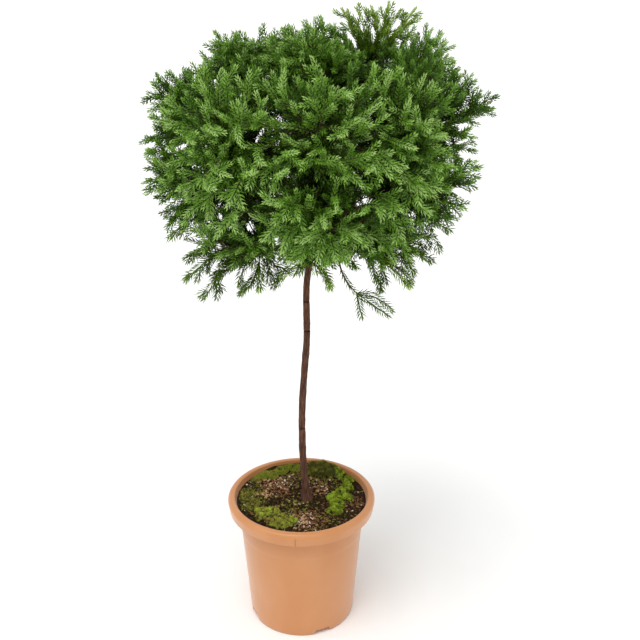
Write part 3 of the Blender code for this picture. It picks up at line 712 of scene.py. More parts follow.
# ---- pot
@dataclass
class Container:
    """The turned pot: flat floor, tapered wall, rolled rim with a skirt, and foot notches."""

    height: float = 0.253
    rim_radius: float = 0.140
    rim_drop: float = 0.0250
    mouth_radius: float = 0.1266
    shoulder_radius: float = 0.1196
    foot_radius: float = 0.1013
    wall: float = 0.0028
    floor: float = 0.0045
    floor_fillet: float = 0.006
    ledge_height: float = 0.1845
    ledge_fade: float = 0.0012
    ledge: float = 0.0007
    crest: float = 0.0075
    hem: float = 0.0014
    skirt_draft: float = 0.0026
    lip: float = 0.003
    lip_draft: float = 0.0008
    notches: int = 4
    notch_azimuth: float = math.radians(294)
    notch_width: float = 0.036
    notch_height: float = 0.009
    notch_depth: float = 0.013
    notch_round: float = 0.005
    wall_end: float = 0.012
    wall_rows: int = 60
    hub_radius: float = 0.001
    seam_azimuth: float = math.radians(266.5)
    seam_width: float = 0.0010
    seam_depth: float = 0.0020
    seam_rise: float = 0.004
    steps: int = 480

    @property
    def shoulder(self) -> float:
        """Height of the rim's lower edge."""
        return self.height - self.rim_drop

    def outside(self, height: Array) -> Array:
        """Outer radius of the wall: a straight taper and the ledge below the rim.

        Args:
            height: Heights above the foot.

        Returns:
            One radius a height.
        """
        taper = (self.shoulder_radius - self.foot_radius) / self.shoulder
        start = self.ledge_height - self.ledge_fade
        ledge = self.ledge * smoothstep(height, start, self.ledge_height)
        return self.foot_radius + taper * height + ledge - self.ledge

    def inside_profile(self) -> Array:
        """(r, z) from the middle of the floor to the lip of the mouth."""
        fillet = self.floor_fillet
        inner = float(self.outside(np.array(self.floor))) - self.wall - fillet
        flat = np.column_stack([np.linspace(self.hub_radius, inner, 6), np.full(6, self.floor)])
        bend = corner((inner, self.floor + fillet), fillet, -90, 0, 5)[1:]
        z = np.linspace(self.floor + 2 * fillet, self.shoulder - 0.004, 14)
        side = np.column_stack([self.outside(z) - self.wall, z])
        under_lip = (self.mouth_radius - self.lip_draft, self.height - 2 * self.lip)
        middle = (self.mouth_radius + self.lip, self.height - self.lip)
        return np.vstack([flat, bend, side, [under_lip], corner(middle, self.lip, 180, 90, 8)])

    def rim_profile(self) -> Array:
        """(r, z) over the top of the rim, down its skirt and up behind it to the wall."""
        crest, hem = self.crest, self.hem
        top = corner((self.rim_radius - crest, self.height - crest), crest, 82, 0, 12)
        foot = self.rim_radius - self.skirt_draft
        skirt = np.column_stack([
            np.linspace(self.rim_radius, foot, 10)[1:-1],
            np.linspace(self.height - crest, self.shoulder + hem, 10)[1:-1],
        ])
        roll = corner((foot - hem, self.shoulder + hem), hem, 0, -180, 9)
        behind = np.array([
            (foot - self.wall - 0.0004, self.height - 0.009),
            (self.mouth_radius + self.wall + 0.001, self.height - 0.0085),
            (self.shoulder_radius + 0.0016, self.shoulder + 0.004),
        ])
        return np.vstack([top, skirt, roll, behind])

    def foot_profile(self, angles: Array) -> Array:
        """(r, z) down the wall and across the underside, for each angle.

        In a notch the wall ends higher up: a smooth step s of the angle lifts its lower edge by
        s x notch height, and the underside starts behind it.

        Args:
            angles: Where the profile is wanted.

        Returns:
            Array of profile points x angles x 2.
        """
        period = TURN / self.notches
        off = (angles - self.notch_azimuth + period / 2) % period - period / 2
        across = np.abs(off) * self.foot_radius
        half = self.notch_width / 2
        lift = self.notch_height * (1 - smoothstep(across, half - self.notch_round, half))

        def ring(radius: float | Array, z: float | Array) -> Array:
            """Radius and height at every angle."""
            return np.stack(np.broadcast_arrays(radius, z, angles)[:2], axis=-1)

        heights = np.linspace(self.shoulder - 0.002, self.wall_end, self.wall_rows)
        rings = [ring(radius, z) for radius, z in zip(self.outside(heights), heights, strict=True)]
        for share, radius_loss, rise in ((0.4, 0, 0.0018), (0, 0.0006, 0.0006), (0, 0.0018, 0)):
            z = lift + rise + share * (self.wall_end - lift)
            rings.append(ring(self.outside(z) - radius_loss, z))
        back = self.foot_radius - self.notch_depth
        rings += [ring(back + 0.0008, lift), ring(back, lift * 0.8), ring(back - 0.0005, 0)]
        rings += [ring(radius, 0) for radius in np.linspace(back - 0.004, self.hub_radius, 6)]
        return np.array(rings)

    def angles(self) -> Array:
        """Even steps round the pot, with a few more close to the seam."""
        close = np.arange(-4, 5) * (0.5 * self.seam_width / self.rim_radius)
        even = even_turn(self.steps)
        return np.sort(np.concatenate([even, self.seam_azimuth + close]))

    def build(self) -> Piece:
        """Makes the pot and puts it in the place of its solid."""
        angles = self.angles()
        steps = len(angles)
        upper = np.vstack([self.inside_profile(), self.rim_profile()])
        upper = np.broadcast_to(upper[:, None], (len(upper), steps, 2)).copy()
        off = (angles - self.seam_azimuth) * self.rim_radius / self.seam_width
        drop = self.height - upper[:, 0, 1]
        outer = upper[:, 0, 0] > self.rim_radius - self.seam_rise
        on_skirt = smoothstep(drop, self.seam_rise, 3 * self.seam_rise) * outer
        upper[..., 0] -= self.seam_depth * on_skirt[:, None] * np.exp(-(off**2))
        points = revolve(np.concatenate([upper, self.foot_profile(angles)]), angles)
        surface = closed_lathe(points, steps, (self.floor, 0))
        pot = surface.to_object("pot_turned", [PlasticFinish().build()], smooth=True)
        return place(pot, "pot", "pot")


# ---- potting mix
@dataclass(frozen=True)
class Litter:
    """One kind of flake: how many, x, y, spread and share of its spots, size, shape and finish."""

    count: int
    spots: tuple[Spot, ...]
    half_lengths: Pair
    flatness: float
    tone: LitterTone


LITTER = (
    Litter(1500, (), (0.0008, 0.0028), 0.7, LitterTone.CRUMB),
    Litter(
        900,
        (
            (-0.045, 0.038, 0.019, 0.26), (0.030, 0.040, 0.015, 0.16), (0.012, -0.074, 0.018, 0.26),
            (0.105, -0.020, 0.014, 0.08),
        ),
        (0.0014, 0.0046), 0.40, LitterTone.CHIP,
    ),
    Litter(
        180,
        (
            (-0.052, 0.048, 0.014, 0.28), (-0.070, 0.010, 0.008, 0.12), (0.038, 0.030, 0.012, 0.16),
            (0.006, -0.080, 0.014, 0.28),
        ),
        (0.0015, 0.0050), 0.40, LitterTone.PALE_CHIP,
    ),
    Litter(
        190,
        (
            (-0.040, 0.050, 0.016, 0.22), (0.028, 0.050, 0.018, 0.20), (0.010, -0.080, 0.015, 0.22),
            (-0.104, 0.040, 0.010, 0.08),
        ),
        (0.0011, 0.0026), 0.8, LitterTone.PERLITE,
    ),
)


@dataclass
class PottingMix:
    """The crumbly top of the mix with the litter that lies on it."""

    container: Container
    top: float = 0.2425
    dip: float = 0.0012
    flat_radius: float = 0.113
    edge_radius: float = 0.1232
    crumble: tuple[tuple[float, float, int], ...] = (
        (0.0024, 34, 5), (0.0022, 90, 6), (0.0018, 240, 7), (0.0007, 520, 8),
    )
    back_rise: float = 0.005
    stem_hollow: float = 0.0060
    stem_hollow_radius: float = 0.026
    rings: int = 110
    steps: int = 300
    litter_radius: float = 0.118
    litter_edge: float = 0.119
    straws: int = 26
    straw_spots: tuple[Spot, ...] = ((-0.030, -0.080, 0.02, 0.3), (-0.02, 0.075, 0.03, 0.25))
    straw_radius: float = 0.0005
    foot: Pair = (0.010, 0.0)

    def height(self, x: Array, y: Array) -> Array:
        """Height of the surface: level with four noises, lower at the wall and the stem.

        Args:
            x: Places across.
            y: Places along.

        Returns:
            Heights in metres.
        """
        radius = np.hypot(x, y)
        places = np.column_stack([x.ravel(), y.ravel(), np.zeros(x.size)])
        relief = sum(h * value_noise(places * cells, seed) for h, cells, seed in self.crumble)
        calm = 1 - smoothstep(radius, self.flat_radius, self.edge_radius) * 0.6
        back = self.back_rise * smoothstep(y, 0.070, 0.112)
        fall = self.dip * smoothstep(radius, self.flat_radius - 0.012, self.edge_radius)
        stem = np.hypot(x - self.foot[0], y - self.foot[1])
        hollow = self.stem_hollow * np.exp(-((stem / self.stem_hollow_radius) ** 2))
        return self.top + self.dip + relief.reshape(x.shape) * calm - fall - hollow + back

    def build_ground(self) -> Piece:
        """Makes the closed body of the mix: relief on top, the pot's taper at its side."""
        angles = even_turn(self.steps)
        radii = self.edge_radius * np.linspace(0.004, 1, self.rings) ** 0.85
        x = radii[:, None] * np.cos(angles)
        y = radii[:, None] * np.sin(angles)
        top = np.stack([x, y, self.height(x, y)], axis=-1).reshape(-1, 3)
        heights = np.array([0.228, 0.2222, 0.12, 0.0115, 0.0051])
        gap = self.container.wall + 0.0005
        sides = np.array([0.1184, 0.1162, *(self.container.outside(heights[2:]) - gap)])
        sides[-1] -= self.container.floor_fillet
        wall = revolve(np.column_stack([sides, heights]), angles)
        hubs = (float(top[0, 2]), float(heights[-1]))
        surface = closed_lathe(np.vstack([top, wall]), self.steps, hubs)
        mix = surface.to_object("potting_mix", [MIX.build()], smooth=True)
        return place(mix, "potting_mix", "soil")

    def scatter(self, count: int, spots: tuple[Spot, ...], rng: Chance) -> Array:
        """Places on the surface: shares of them round named spots, the rest anywhere.

        Args:
            count: Number of places.
            spots: x, y, spread and share of each spot.
            rng: Source of chance.

        Returns:
            Points on the surface, one a row.
        """
        shares = np.array([s[3] for s in spots] + [max(0.0, 1 - sum(s[3] for s in spots))])
        pick = rng.choice(len(shares), size=count, p=shares / shares.sum())
        angle = rng.uniform(0, TURN, count)
        radius = self.litter_radius * np.sqrt(rng.uniform(0, 1, count))
        flat = np.column_stack([radius * np.cos(angle), radius * np.sin(angle)])
        for k, (x, y, spread, _) in enumerate(spots):
            chosen = pick == k
            flat[chosen] = (x, y) + spread * rng.normal(size=(int(chosen.sum()), 2))
        flat = flat[np.hypot(flat[:, 0], flat[:, 1]) < self.litter_edge]
        return np.column_stack([flat, self.height(flat[:, 0], flat[:, 1])])

    def add_shards(self, surface: Surface, kind: Litter, rng: Chance) -> None:
        """Irregular flakes: a ring of six points with a point above and below its middle.

        With a the half length, b the half width, w a wobble and u once round, the ring is
        (a w cos u, b w sin u, a little up or down), and the two points are at +- flatness x a.

        Args:
            surface: Where they go.
            kind: Their number, places, size and finish.
            rng: Source of chance.
        """
        places = self.scatter(kind.count, kind.spots, rng)
        count, corners, flatness = len(places), 6, kind.flatness
        u = even_turn(corners)
        half = rng.uniform(*kind.half_lengths, count)[:, None]
        slim = rng.uniform(0.35, 0.8, count)[:, None]
        wobble = rng.uniform(0.75, 1.2, (count, corners))
        rise = 0.25 * flatness * half * rng.uniform(-1, 1, (count, corners))
        ring = [half * wobble * np.cos(u), half * slim * wobble * np.sin(u), rise]
        tips = np.zeros((count, 2, 3))
        tips[:, :, 2] = flatness * half * (1, -1)
        shape = np.concatenate([np.stack(ring, axis=-1), tips], axis=1)
        shape = shape @ random_turns(count, 0.5, rng).transpose(0, 2, 1)
        shape += (places + np.array([0, 0, 0.35]) * half * flatness)[:, None]
        k = np.arange(corners)
        on = (k + 1) % corners
        above = np.column_stack([k, on, np.full(corners, corners)])
        below = np.column_stack([on, k, np.full(corners, corners + 1)])
        faces = repeated(np.vstack([above, below]), corners + 2, count)
        surface.add(shape.reshape(-1, 3), faces, kind.tone)

    def add_straws(self, surface: Surface, rng: Chance) -> None:
        """Thin bent strips that lie on the mix.

        Args:
            surface: Where they go.
            rng: Source of chance.
        """
        count = 7
        for middle in self.scatter(self.straws, self.straw_spots, rng):
            turn, length = rng.uniform(0, TURN), rng.uniform(0.010, 0.026)
            run = np.array([math.cos(turn), math.sin(turn), 0.0])
            bow = np.array([-run[1], run[0], 0.0]) * rng.uniform(-0.25, 0.25) * length
            half = run * length / 2
            path = arc_path(middle - half, middle + bow, middle + half, count)
            path[:, 2] = self.height(path[:, 0], path[:, 1]) + 0.0009
            radii = self.straw_radius * np.sin(np.linspace(0.5, 2.7, count))
            surface.add(*capped_tube(path, radii, 4), LitterTone.STRAW)

    def build_litter(self) -> Piece:
        """Makes the bark chips, crumbs, perlite grains and straws as one piece."""
        rng = np.random.default_rng([SEED, 100])
        surface = Surface()
        for kind in LITTER:
            self.add_shards(surface, kind, rng)
        self.add_straws(surface, rng)
        finishes = [f.build() for f in LITTER_FINISHES]
        return place(surface.to_object("bark_and_perlite", finishes, smooth=False), "potting_mix")


def random_turns(count: int, tilt: float, rng: Chance) -> Array:
    """Rotation matrices: any turn about Z, then a tilt about a level axis.

    Args:
        count: Number of matrices.
        tilt: Greatest tilt in radians.
        rng: Source of chance.

    Returns:
        Array of count x 3 x 3.
    """
    turn, lean = rng.uniform(0, TURN, count), rng.uniform(-tilt, tilt, count)
    c, s, cl, sl = np.cos(turn), np.sin(turn), np.cos(lean), np.sin(lean)
    zero, one = np.zeros(count), np.ones(count)
    about_z = np.stack([c, -s, zero, s, c, zero, zero, zero, one], axis=-1).reshape(-1, 3, 3)
    about_x = np.stack([one, zero, zero, zero, cl, -sl, zero, sl, cl], axis=-1).reshape(-1, 3, 3)
    return about_z @ about_x


# ---- needles
NEEDLE_FACES = ((0, 2, 1), (1, 2, 3), (0, 1, 3), (0, 3, 2))


def needle_mesh(
    roots: Array, headings: Array, outwards: Array, lengths: Array, width: float
) -> tuple[Array, Faces]:
    """Awl-shaped needles of four faces: a root, two shoulders and a tip.

    With h the heading, n the outward vector square to it, s = n x h, L the length and w the width,
    the points are root, root + 0.42 L h + 0.55 w n -+ 0.5 w s and root + L h, so that each needle
    is widest before its middle and its tip bends inwards.

    Args:
        roots: Where the needles start.
        headings: Unit vectors along them.
        outwards: Unit vectors square to the headings, away from the shoot.
        lengths: Their lengths.
        width: Their greatest width.

    Returns:
        Vertices and triangles.
    """
    half = 0.5 * width * np.cross(outwards, headings)
    middle = roots + 0.42 * lengths[:, None] * headings + 0.55 * width * outwards
    tips = roots + lengths[:, None] * headings
    points = np.stack([roots, middle + half, middle - half, tips], axis=1)
    faces = repeated(np.array(NEEDLE_FACES), 4, len(roots))
    return points.reshape(-1, 3), faces


@dataclass(frozen=True)
class Cushion:
    """One moss cushion: clumps that run together, the length of its blades, and its greens.

    A clump is (x, y, radius, height) in millimetres.
    """

    node: str
    clumps: tuple[Spot, ...]
    blade: float  # metres
    tones: tuple[MossTone, ...]


CUSHIONS = (
    Cushion(
        "moss_right",
        (
            (63, -50, 13, 5), (69, -28, 14, 6), (64, -4, 15, 6), (87, -2, 12, 5), (78, 14, 12, 6),
            (87, 32, 12, 5), (91, 58, 11, 5), (79, 77, 11, 6), (69, 92, 10, 6),
        ),
        0.0034, (MossTone.GREEN, MossTone.BRIGHT, MossTone.BRIGHT, MossTone.LIME),
    ),
    Cushion(
        "moss_front_left",
        (
            (-72, -50, 13, 4), (-72, -71, 11, 4), (-56, -66, 15, 5), (-49, -84, 13, 5),
            (-32, -91, 13, 5), (-36, -73, 12, 5), (-17, -84, 11, 4), (-52, -48, 11, 3),
        ),
        0.0032, (MossTone.GREEN, MossTone.OLIVE, MossTone.OLIVE, MossTone.OLIVE, MossTone.LIME),
    ),
    Cushion(
        "moss_back_left",
        (
            (-88, 66, 12, 4), (-75, 77, 13, 5), (-60, 74, 12, 5), (-42, 92, 12, 4),
            (-26, 105, 11, 4), (-12, 98, 11, 4),
        ),
        0.0034, (MossTone.GREEN, MossTone.OLIVE, MossTone.OLIVE, MossTone.OLIVE, MossTone.BRIGHT),
    ),
    Cushion(
        "moss_back_right",
        (
            (26, 103, 13, 7), (43, 104, 13, 9), (58, 96, 12, 7), (40, 88, 12, 6), (20, 87, 11, 5),
            (53, 80, 11, 5),
        ),
        0.0052, (MossTone.GREEN, MossTone.GREEN, MossTone.GREEN, MossTone.OLIVE),
    ),
)


@dataclass
class MossBed:
    """Cushions of short moss shoots on the mix, and the film between them."""

    mix: PottingMix
    crowding: float = 0.85e6
    blades: int = 6
    blade_width: float = 0.0013
    lean: Pair = (0.2, 1.1)
    rings: int = 8
    steps: int = 28
    skirt: float = 0.0012
    overlap: float = 1.08
    patch_cells: float = 230
    bare_below: float = -0.22
    edge: float = 0.1185
    strays: int = 2100
    stray_blade: float = 0.0030
    stray_tones: tuple[MossTone, ...] = 2 * (MossTone.OLIVE,) + 2 * (MossTone.GREEN,)
    stray_spots: tuple[Spot, ...] = (
        (-0.100, 0.010, 0.016, 0.26), (-0.095, -0.025, 0.012, 0.16), (0.010, 0.088, 0.022, 0.12),
        (0.045, 0.070, 0.020, 0.10), (-0.02, -0.035, 0.02, 0.08), (0.045, -0.075, 0.020, 0.06),
    )

    def add_tufts(
        self, surface: Surface, roots: Array, tones: Faces, blade: float, rng: Chance
    ) -> None:
        """Stars of short blades that stand up and lean out.

        Args:
            surface: Where they go.
            roots: Their feet.
            tones: Their greens.
            blade: Mean length of a blade.
            rng: Source of chance.
        """
        blades = self.blades
        count = len(roots)
        u = rng.uniform(0, TURN, (count, 1)) + np.arange(blades) * TURN / blades
        lean = rng.uniform(*self.lean, (count, blades))
        sine, cosine = np.sin(lean), np.cos(lean)
        headings = np.stack([sine * np.cos(u), sine * np.sin(u), cosine], axis=-1)
        outwards = np.stack([cosine * np.cos(u), cosine * np.sin(u), -sine], axis=-1)
        lengths = blade * np.repeat(rng.uniform(0.6, 1.4, count), blades)
        lengths *= rng.uniform(0.8, 1.2, count * blades)
        feet = np.repeat(roots, blades, axis=0) - np.array([0, 0, 0.0006])
        points, faces = needle_mesh(
            feet, headings.reshape(-1, 3), outwards.reshape(-1, 3), lengths, self.blade_width
        )
        surface.add(points, faces, np.repeat(tones, blades * len(NEEDLE_FACES)))

    def add_ground(self, surface: Surface, clump: Spot) -> None:
        """A low dome with a ragged edge: height x root(1 - share^2) over a wavering disc.

        Args:
            surface: Where it goes.
            clump: Place, radius and height in metres.
        """
        x, y, radius, height = clump
        share = np.linspace(0.03, 1, self.rings)[:, None]
        u = even_turn(self.steps)
        edge = np.column_stack([3 * np.cos(u), 3 * np.sin(u), np.full(self.steps, 900 * x)])
        disc = radius * share * (0.84 + 0.40 * value_noise(edge, 11))
        at = np.stack([x + disc * np.cos(u), y + disc * np.sin(u)], axis=-1)
        dome = height * np.sqrt(np.clip(1 - share**2, 0, 1)) - self.skirt * share
        level = self.mix.height(at[..., 0], at[..., 1]) + dome
        points = np.concatenate([at, level[..., None]], axis=-1).reshape(-1, 3)
        faces = grid_faces(self.rings, self.steps, wrapped=True)[:, ::-1]
        surface.add(points, faces, int(MossTone.GROUND))

    def add_clump(self, surface: Surface, clump: Spot, cushion: Cushion, rng: Chance) -> None:
        """A clump's ground, covered in tufts whose greens go by patches.

        Args:
            surface: Where it goes.
            clump: Place, radius and height in metres.
            cushion: Its cushion.
            rng: Source of chance.
        """
        self.add_ground(surface, clump)
        x, y, radius, height = clump
        count = int(self.crowding * math.pi * radius**2)
        angle = rng.uniform(0, TURN, count)
        out = self.overlap * np.sqrt(rng.uniform(0, 1, count))
        feet = np.column_stack([x + radius * out * np.cos(angle), y + radius * out * np.sin(angle)])
        patch = value_noise(np.column_stack([feet * self.patch_cells, np.zeros(count)]), 13)
        patch += 0.25 * rng.normal(size=count)
        kept = (patch > self.bare_below) & (np.hypot(feet[:, 0], feet[:, 1]) < self.edge)
        feet, out, patch = feet[kept], out[kept], patch[kept]
        dome = height * np.sqrt(np.clip(1 - np.minimum(out, 1) ** 2, 0, 1))
        rise = dome + 0.0016 * np.clip(patch, -0.5, 1)
        roots = np.column_stack([feet, self.mix.height(feet[:, 0], feet[:, 1]) + rise])
        greens = np.array(cushion.tones)
        choice = np.clip(((patch + 0.25) * len(greens)).astype(int), 0, len(greens) - 1)
        self.add_tufts(surface, roots, greens[choice], cushion.blade, rng)

    def build(self) -> None:
        """Makes the cushions, and the film of stray tufts between them."""
        finishes = [f.build() for f in MOSS_FINISHES]
        for number, cushion in enumerate(CUSHIONS):
            rng = np.random.default_rng([SEED, 200 + number])
            surface = Surface()
            for x, y, radius, height in np.array(cushion.clumps) / MILLIMETRES:
                self.add_clump(surface, (x, y, radius, height), cushion, rng)
            tufts = surface.to_object(f"{cushion.node}_tufts", finishes, smooth=False)
            place(tufts, "moss", cushion.node)
        rng = np.random.default_rng([SEED, 300])
        roots = self.mix.scatter(self.strays, self.stray_spots, rng)
        surface = Surface()
        tones = rng.choice(self.stray_tones, len(roots))
        self.add_tufts(surface, roots, tones, self.stray_blade, rng)
        place(surface.to_object("stray_moss", finishes, smooth=False), "moss")


# ---- stem and boughs
@dataclass
class Trunk:
    """The bare stem: a smooth curve through its knots, with a flared foot and ridged bark."""

    foot: float = 0.2373
    radius: float = 0.0060
    taper: float = 0.0010
    flare: float = 0.0075
    flare_fade: float = 0.014
    fork_swell: float = 0.0022
    fork_swell_length: float = 0.10
    sides: int = 44
    rows: int = 330
    buried: float = 0.010
    ridge: float = 0.00055
    scar: float = 0.0007
    scar_above: float = 0.35
    flute: float = 0.0016
    flute_fade: float = 0.020
    line: tuple[Pair, ...] = (
        (0.2373, 0.0100), (0.315, 0.0042), (0.420, 0.0022), (0.500, 0.0066), (0.560, 0.0112),
        (0.700, 0.0150), (0.813, 0.0455),
    )

    @property
    def fork(self) -> float:
        """Height of the fork, where the leader's bough carries on."""
        return self.line[-1][0]

    def point(self, height: float) -> Array:
        """Centre line: a cubic between knots, whose slopes are the knots' own gradient.

        Args:
            height: Where it is wanted.

        Returns:
            The point at that height.
        """
        knots = np.array(self.line)
        slopes = np.gradient(knots[:, 1], knots[:, 0])
        slopes[0] = 0
        k = int(np.clip(np.searchsorted(knots[:, 0], height) - 1, 0, len(knots) - 2))
        span = knots[k + 1, 0] - knots[k, 0]
        t = (height - knots[k, 0]) / span
        ends = (2 * t**3 - 3 * t**2 + 1) * knots[k, 1] + (3 * t**2 - 2 * t**3) * knots[k + 1, 1]
        turns = (t**3 - 2 * t**2 + t) * slopes[k] + (t**3 - t**2) * slopes[k + 1]
        return np.array([ends + span * turns, 0, height])

    def thickness(self, heights: Array) -> Array:
        """Radius of the stem: a slight taper, the foot's flare and the fork's swelling.

        Args:
            heights: Where it is wanted.

        Returns:
            One radius a height.
        """
        share = (heights - self.foot) / (self.fork - self.foot)
        swell = np.maximum(0, 1 - (self.fork - heights) / self.fork_swell_length)
        flare = self.flare * np.exp(-(heights - self.foot) / self.flare_fade)
        return self.radius + self.taper * (0.5 - share) + flare + self.fork_swell * swell

    def rings(self, count: int) -> tuple[Array, Array]:
        """Centres and radii, closer together towards the foot."""
        heights = self.foot + (self.fork - self.foot) * np.linspace(0, 1, count) ** 1.4
        return np.array([self.point(h) for h in heights]), self.thickness(heights)

    def build(self) -> Piece:
        """Makes the stem with ridges, scars and the flutes that run up from its roots."""
        heights = np.linspace(self.foot - self.buried, self.fork, self.rows)
        path = np.array([self.point(max(h, self.foot)) for h in heights])
        path[:, 2] = heights
        radii = self.thickness(np.maximum(heights, self.foot))
        u = even_turn(self.sides)
        places = limb_noise_places(u, heights, 4.2, 46)
        ridges = fractal(places, 21).reshape(self.rows, self.sides)
        scars = value_noise(places * (0.7, 0.7, 2.6), 25).reshape(self.rows, self.sides)
        fade = np.exp(-(heights[:, None] - self.foot) / self.flute_fade)
        flutes = np.cos(5 * u + 0.7) * fade * self.flute
        bark = self.ridge * ridges + self.scar * np.clip(scars - self.scar_above, 0, 1)
        surface = Surface()
        surface.add(*capped_tube(path, radii[:, None] + bark + flutes, self.sides))
        stem = surface.to_object("stem_bark", [TRUNK_BARK.build()], smooth=True)
        return place(stem, "trunk_bark", "trunk")


@dataclass(frozen=True)
class Lobe:
    """A mass of foliage, by the direction and distance of its furthest tip from the centre."""

    name: str
    azimuth: float
    elevation: float
    reach: float


LOBES = (
    Lobe("low_centre", 264, -69, 0.232),
    Lobe("back_low", 87, -66, 0.250),
    Lobe("low_right", 332, -51, 0.268),
    Lobe("low_left", 206, -45, 0.312),
    Lobe("back_right", 43, -12, 0.270),
    Lobe("front_low", 274, -24, 0.262),
    Lobe("back_left", 138, -14, 0.272),
    Lobe("right_low", 353, -18, 0.270),
    Lobe("front", 270, 21, 0.266),
    Lobe("left_low", 185, -14, 0.297),
    Lobe("back", 90, -20, 0.262),
    Lobe("front_right", 319, 21, 0.270),
    Lobe("left", 173, 17, 0.303),
    Lobe("right_fan", 6, 14, 0.300),
    Lobe("front_left", 222, 17, 0.275),
    Lobe("top_left", 159, 42, 0.266),
    Lobe("back_top", 90, 27, 0.255),
    Lobe("top_right", 16, 36, 0.276),
    Lobe("front_top", 266, 69, 0.222),
    Lobe("top", 120, 66, 0.215),
    Lobe("leader", 36, 57, 0.280),
)


# Long sprays that stand out from the rest: their tips, and a point that each passes just before,
# in millimetres.
LEADS = (
    (70, 8, 1130, 86, -1, 1106), (92, 7, 1131, 111, -4, 1103), (116, 4, 1133, 128, -6, 1106),
    (143, 0, 1140, 137, -15, 1102), (162, -2, 1129, 142, -12, 1102),
    (184, -6, 1131, 157, -19, 1097), (173, -1, 1105, 172, -14, 1072),
    (187, -5, 1120, 160, -15, 1093), (69, 10, 1108, 86, 6, 1098), (212, -9, 1101, 186, -20, 1074),
    (228, -13, 1094, 204, -23, 1067), (235, -14, 1081, 213, -23, 1058),
    (244, -16, 1056, 220, -22, 1040), (256, -19, 1041, 233, -26, 1025),
    (-131, -7, 1096, -109, -15, 1074), (-138, -7, 1082, -114, -14, 1066),
    (-156, -11, 1045, -136, -16, 1031), (-99, 0, 1091, -94, -11, 1061),
    (-83, 3, 1094, -80, -8, 1066), (-60, 6, 1101, -56, -10, 1061), (-42, 8, 1093, -57, -3, 1065),
    (-26, 9, 1101, -20, -6, 1061), (-13, 10, 1104, -1, -1, 1076), (14, 10, 1112, 23, -2, 1080),
    (27, 10, 1116, 31, -3, 1080), (38, 10, 1115, 42, -3, 1080), (59, 11, 1107, 51, -1, 1076),
    (276, -26, 1034, 248, -40, 999), (285, -29, 1013, 249, -37, 992),
    (313, -40, 1003, 259, -53, 971), (310, -41, 983, 269, -45, 971), (287, -34, 969, 242, -38, 958),
    (287, -38, 936, 252, -35, 945), (284, -40, 917, 252, -40, 917), (269, -34, 925, 245, -37, 916),
    (288, -45, 900, 261, -49, 890), (291, -49, 885, 261, -46, 894), (291, -52, 873, 264, -47, 886),
    (279, -54, 852, 262, -46, 872), (285, -52, 866, 253, -50, 870), (268, -54, 837, 238, -49, 850),
    (273, -60, 824, 243, -56, 834), (251, -61, 800, 231, -53, 821),
    (-244, -41, 998, -213, -39, 1003), (-230, -35, 1022, -216, -41, 1005),
    (-221, -31, 1035, -211, -40, 1011), (-201, -24, 1039, -188, -30, 1022),
    (-181, -18, 1042, -178, -28, 1014), (-167, -14, 1037, -168, -24, 1012),
    (-231, -37, 990, -205, -37, 989), (-233, -40, 968, -206, -41, 965),
    (-242, -48, 934, -215, -47, 937), (-243, -52, 914, -215, -49, 922),
    (-249, -65, 868, -213, -58, 885), (-244, -68, 850, -213, -59, 872),
    (-222, -63, 835, -202, -56, 855), (-217, -69, 813, -191, -60, 835),
    (-214, -73, 799, -191, -65, 819), (-211, -78, 781, -175, -68, 808),
    (-185, -71, 777, -173, -61, 803), (-187, -84, 748, -152, -72, 779),
    (-183, -98, 715, -155, -84, 752), (-148, -83, 725, -152, -73, 749),
    (-155, -106, 685, -125, -83, 742), (-132, -93, 696, -137, -82, 725),
    (-98, -83, 701, -98, -66, 744), (-98, -89, 689, -60, -80, 712), (-67, -82, 692, -60, -69, 727),
    (-80, -64, 733, -61, -56, 754), (-35, -75, 699, -16, -58, 743), (52, -74, 694, 49, -58, 734),
    (93, -60, 726, 72, -55, 740), (135, -83, 690, 130, -65, 736), (181, -87, 699, 144, -69, 744),
    (188, -83, 708, 164, -75, 729), (192, -78, 722, 167, -63, 760), (216, -76, 738, 196, -59, 781),
    (234, -70, 763, 216, -57, 796), (243, -63, 787, 225, -55, 808), (-51, -74, 703, -42, -59, 741),
    (-29, -69, 708, -8, -55, 745), (4, -61, 719, 9, -48, 754), (29, -62, 716, 22, -47, 755),
    (47, -68, 704, 34, -53, 743), (126, -73, 706, 125, -58, 745), (-242, -51, 919, -207, -49, 923),
    (-240, -52, 905, -206, -50, 911), (-213, -28, 1029, -198, -37, 1006),
    (125, 4, 1125, 134, -11, 1087), (87, 8, 1119, 108, -7, 1081), (293, -33, 1001, 254, -40, 983),
    (305, -38, 992, 263, -44, 976), (219, -65, 765, 201, -53, 796), (206, -69, 748, 187, -56, 782),
    (72, 11, 1096, 86, -2, 1062), (259, -20, 1029, 235, -30, 1004),
    (237, -14, 1062, 215, -24, 1035), (252, -57, 812, 225, -50, 829),
    (211, -66, 759, 185, -53, 791), (187, -69, 738, 167, -56, 771),
    (-180, -80, 751, -138, -72, 771), (-239, -55, 889, -208, -51, 901),
    (-205, -67, 805, -179, -58, 828), (-44, -54, 743, -33, -42, 774),
    (208, -45, 811, 192, -36, 834),
)
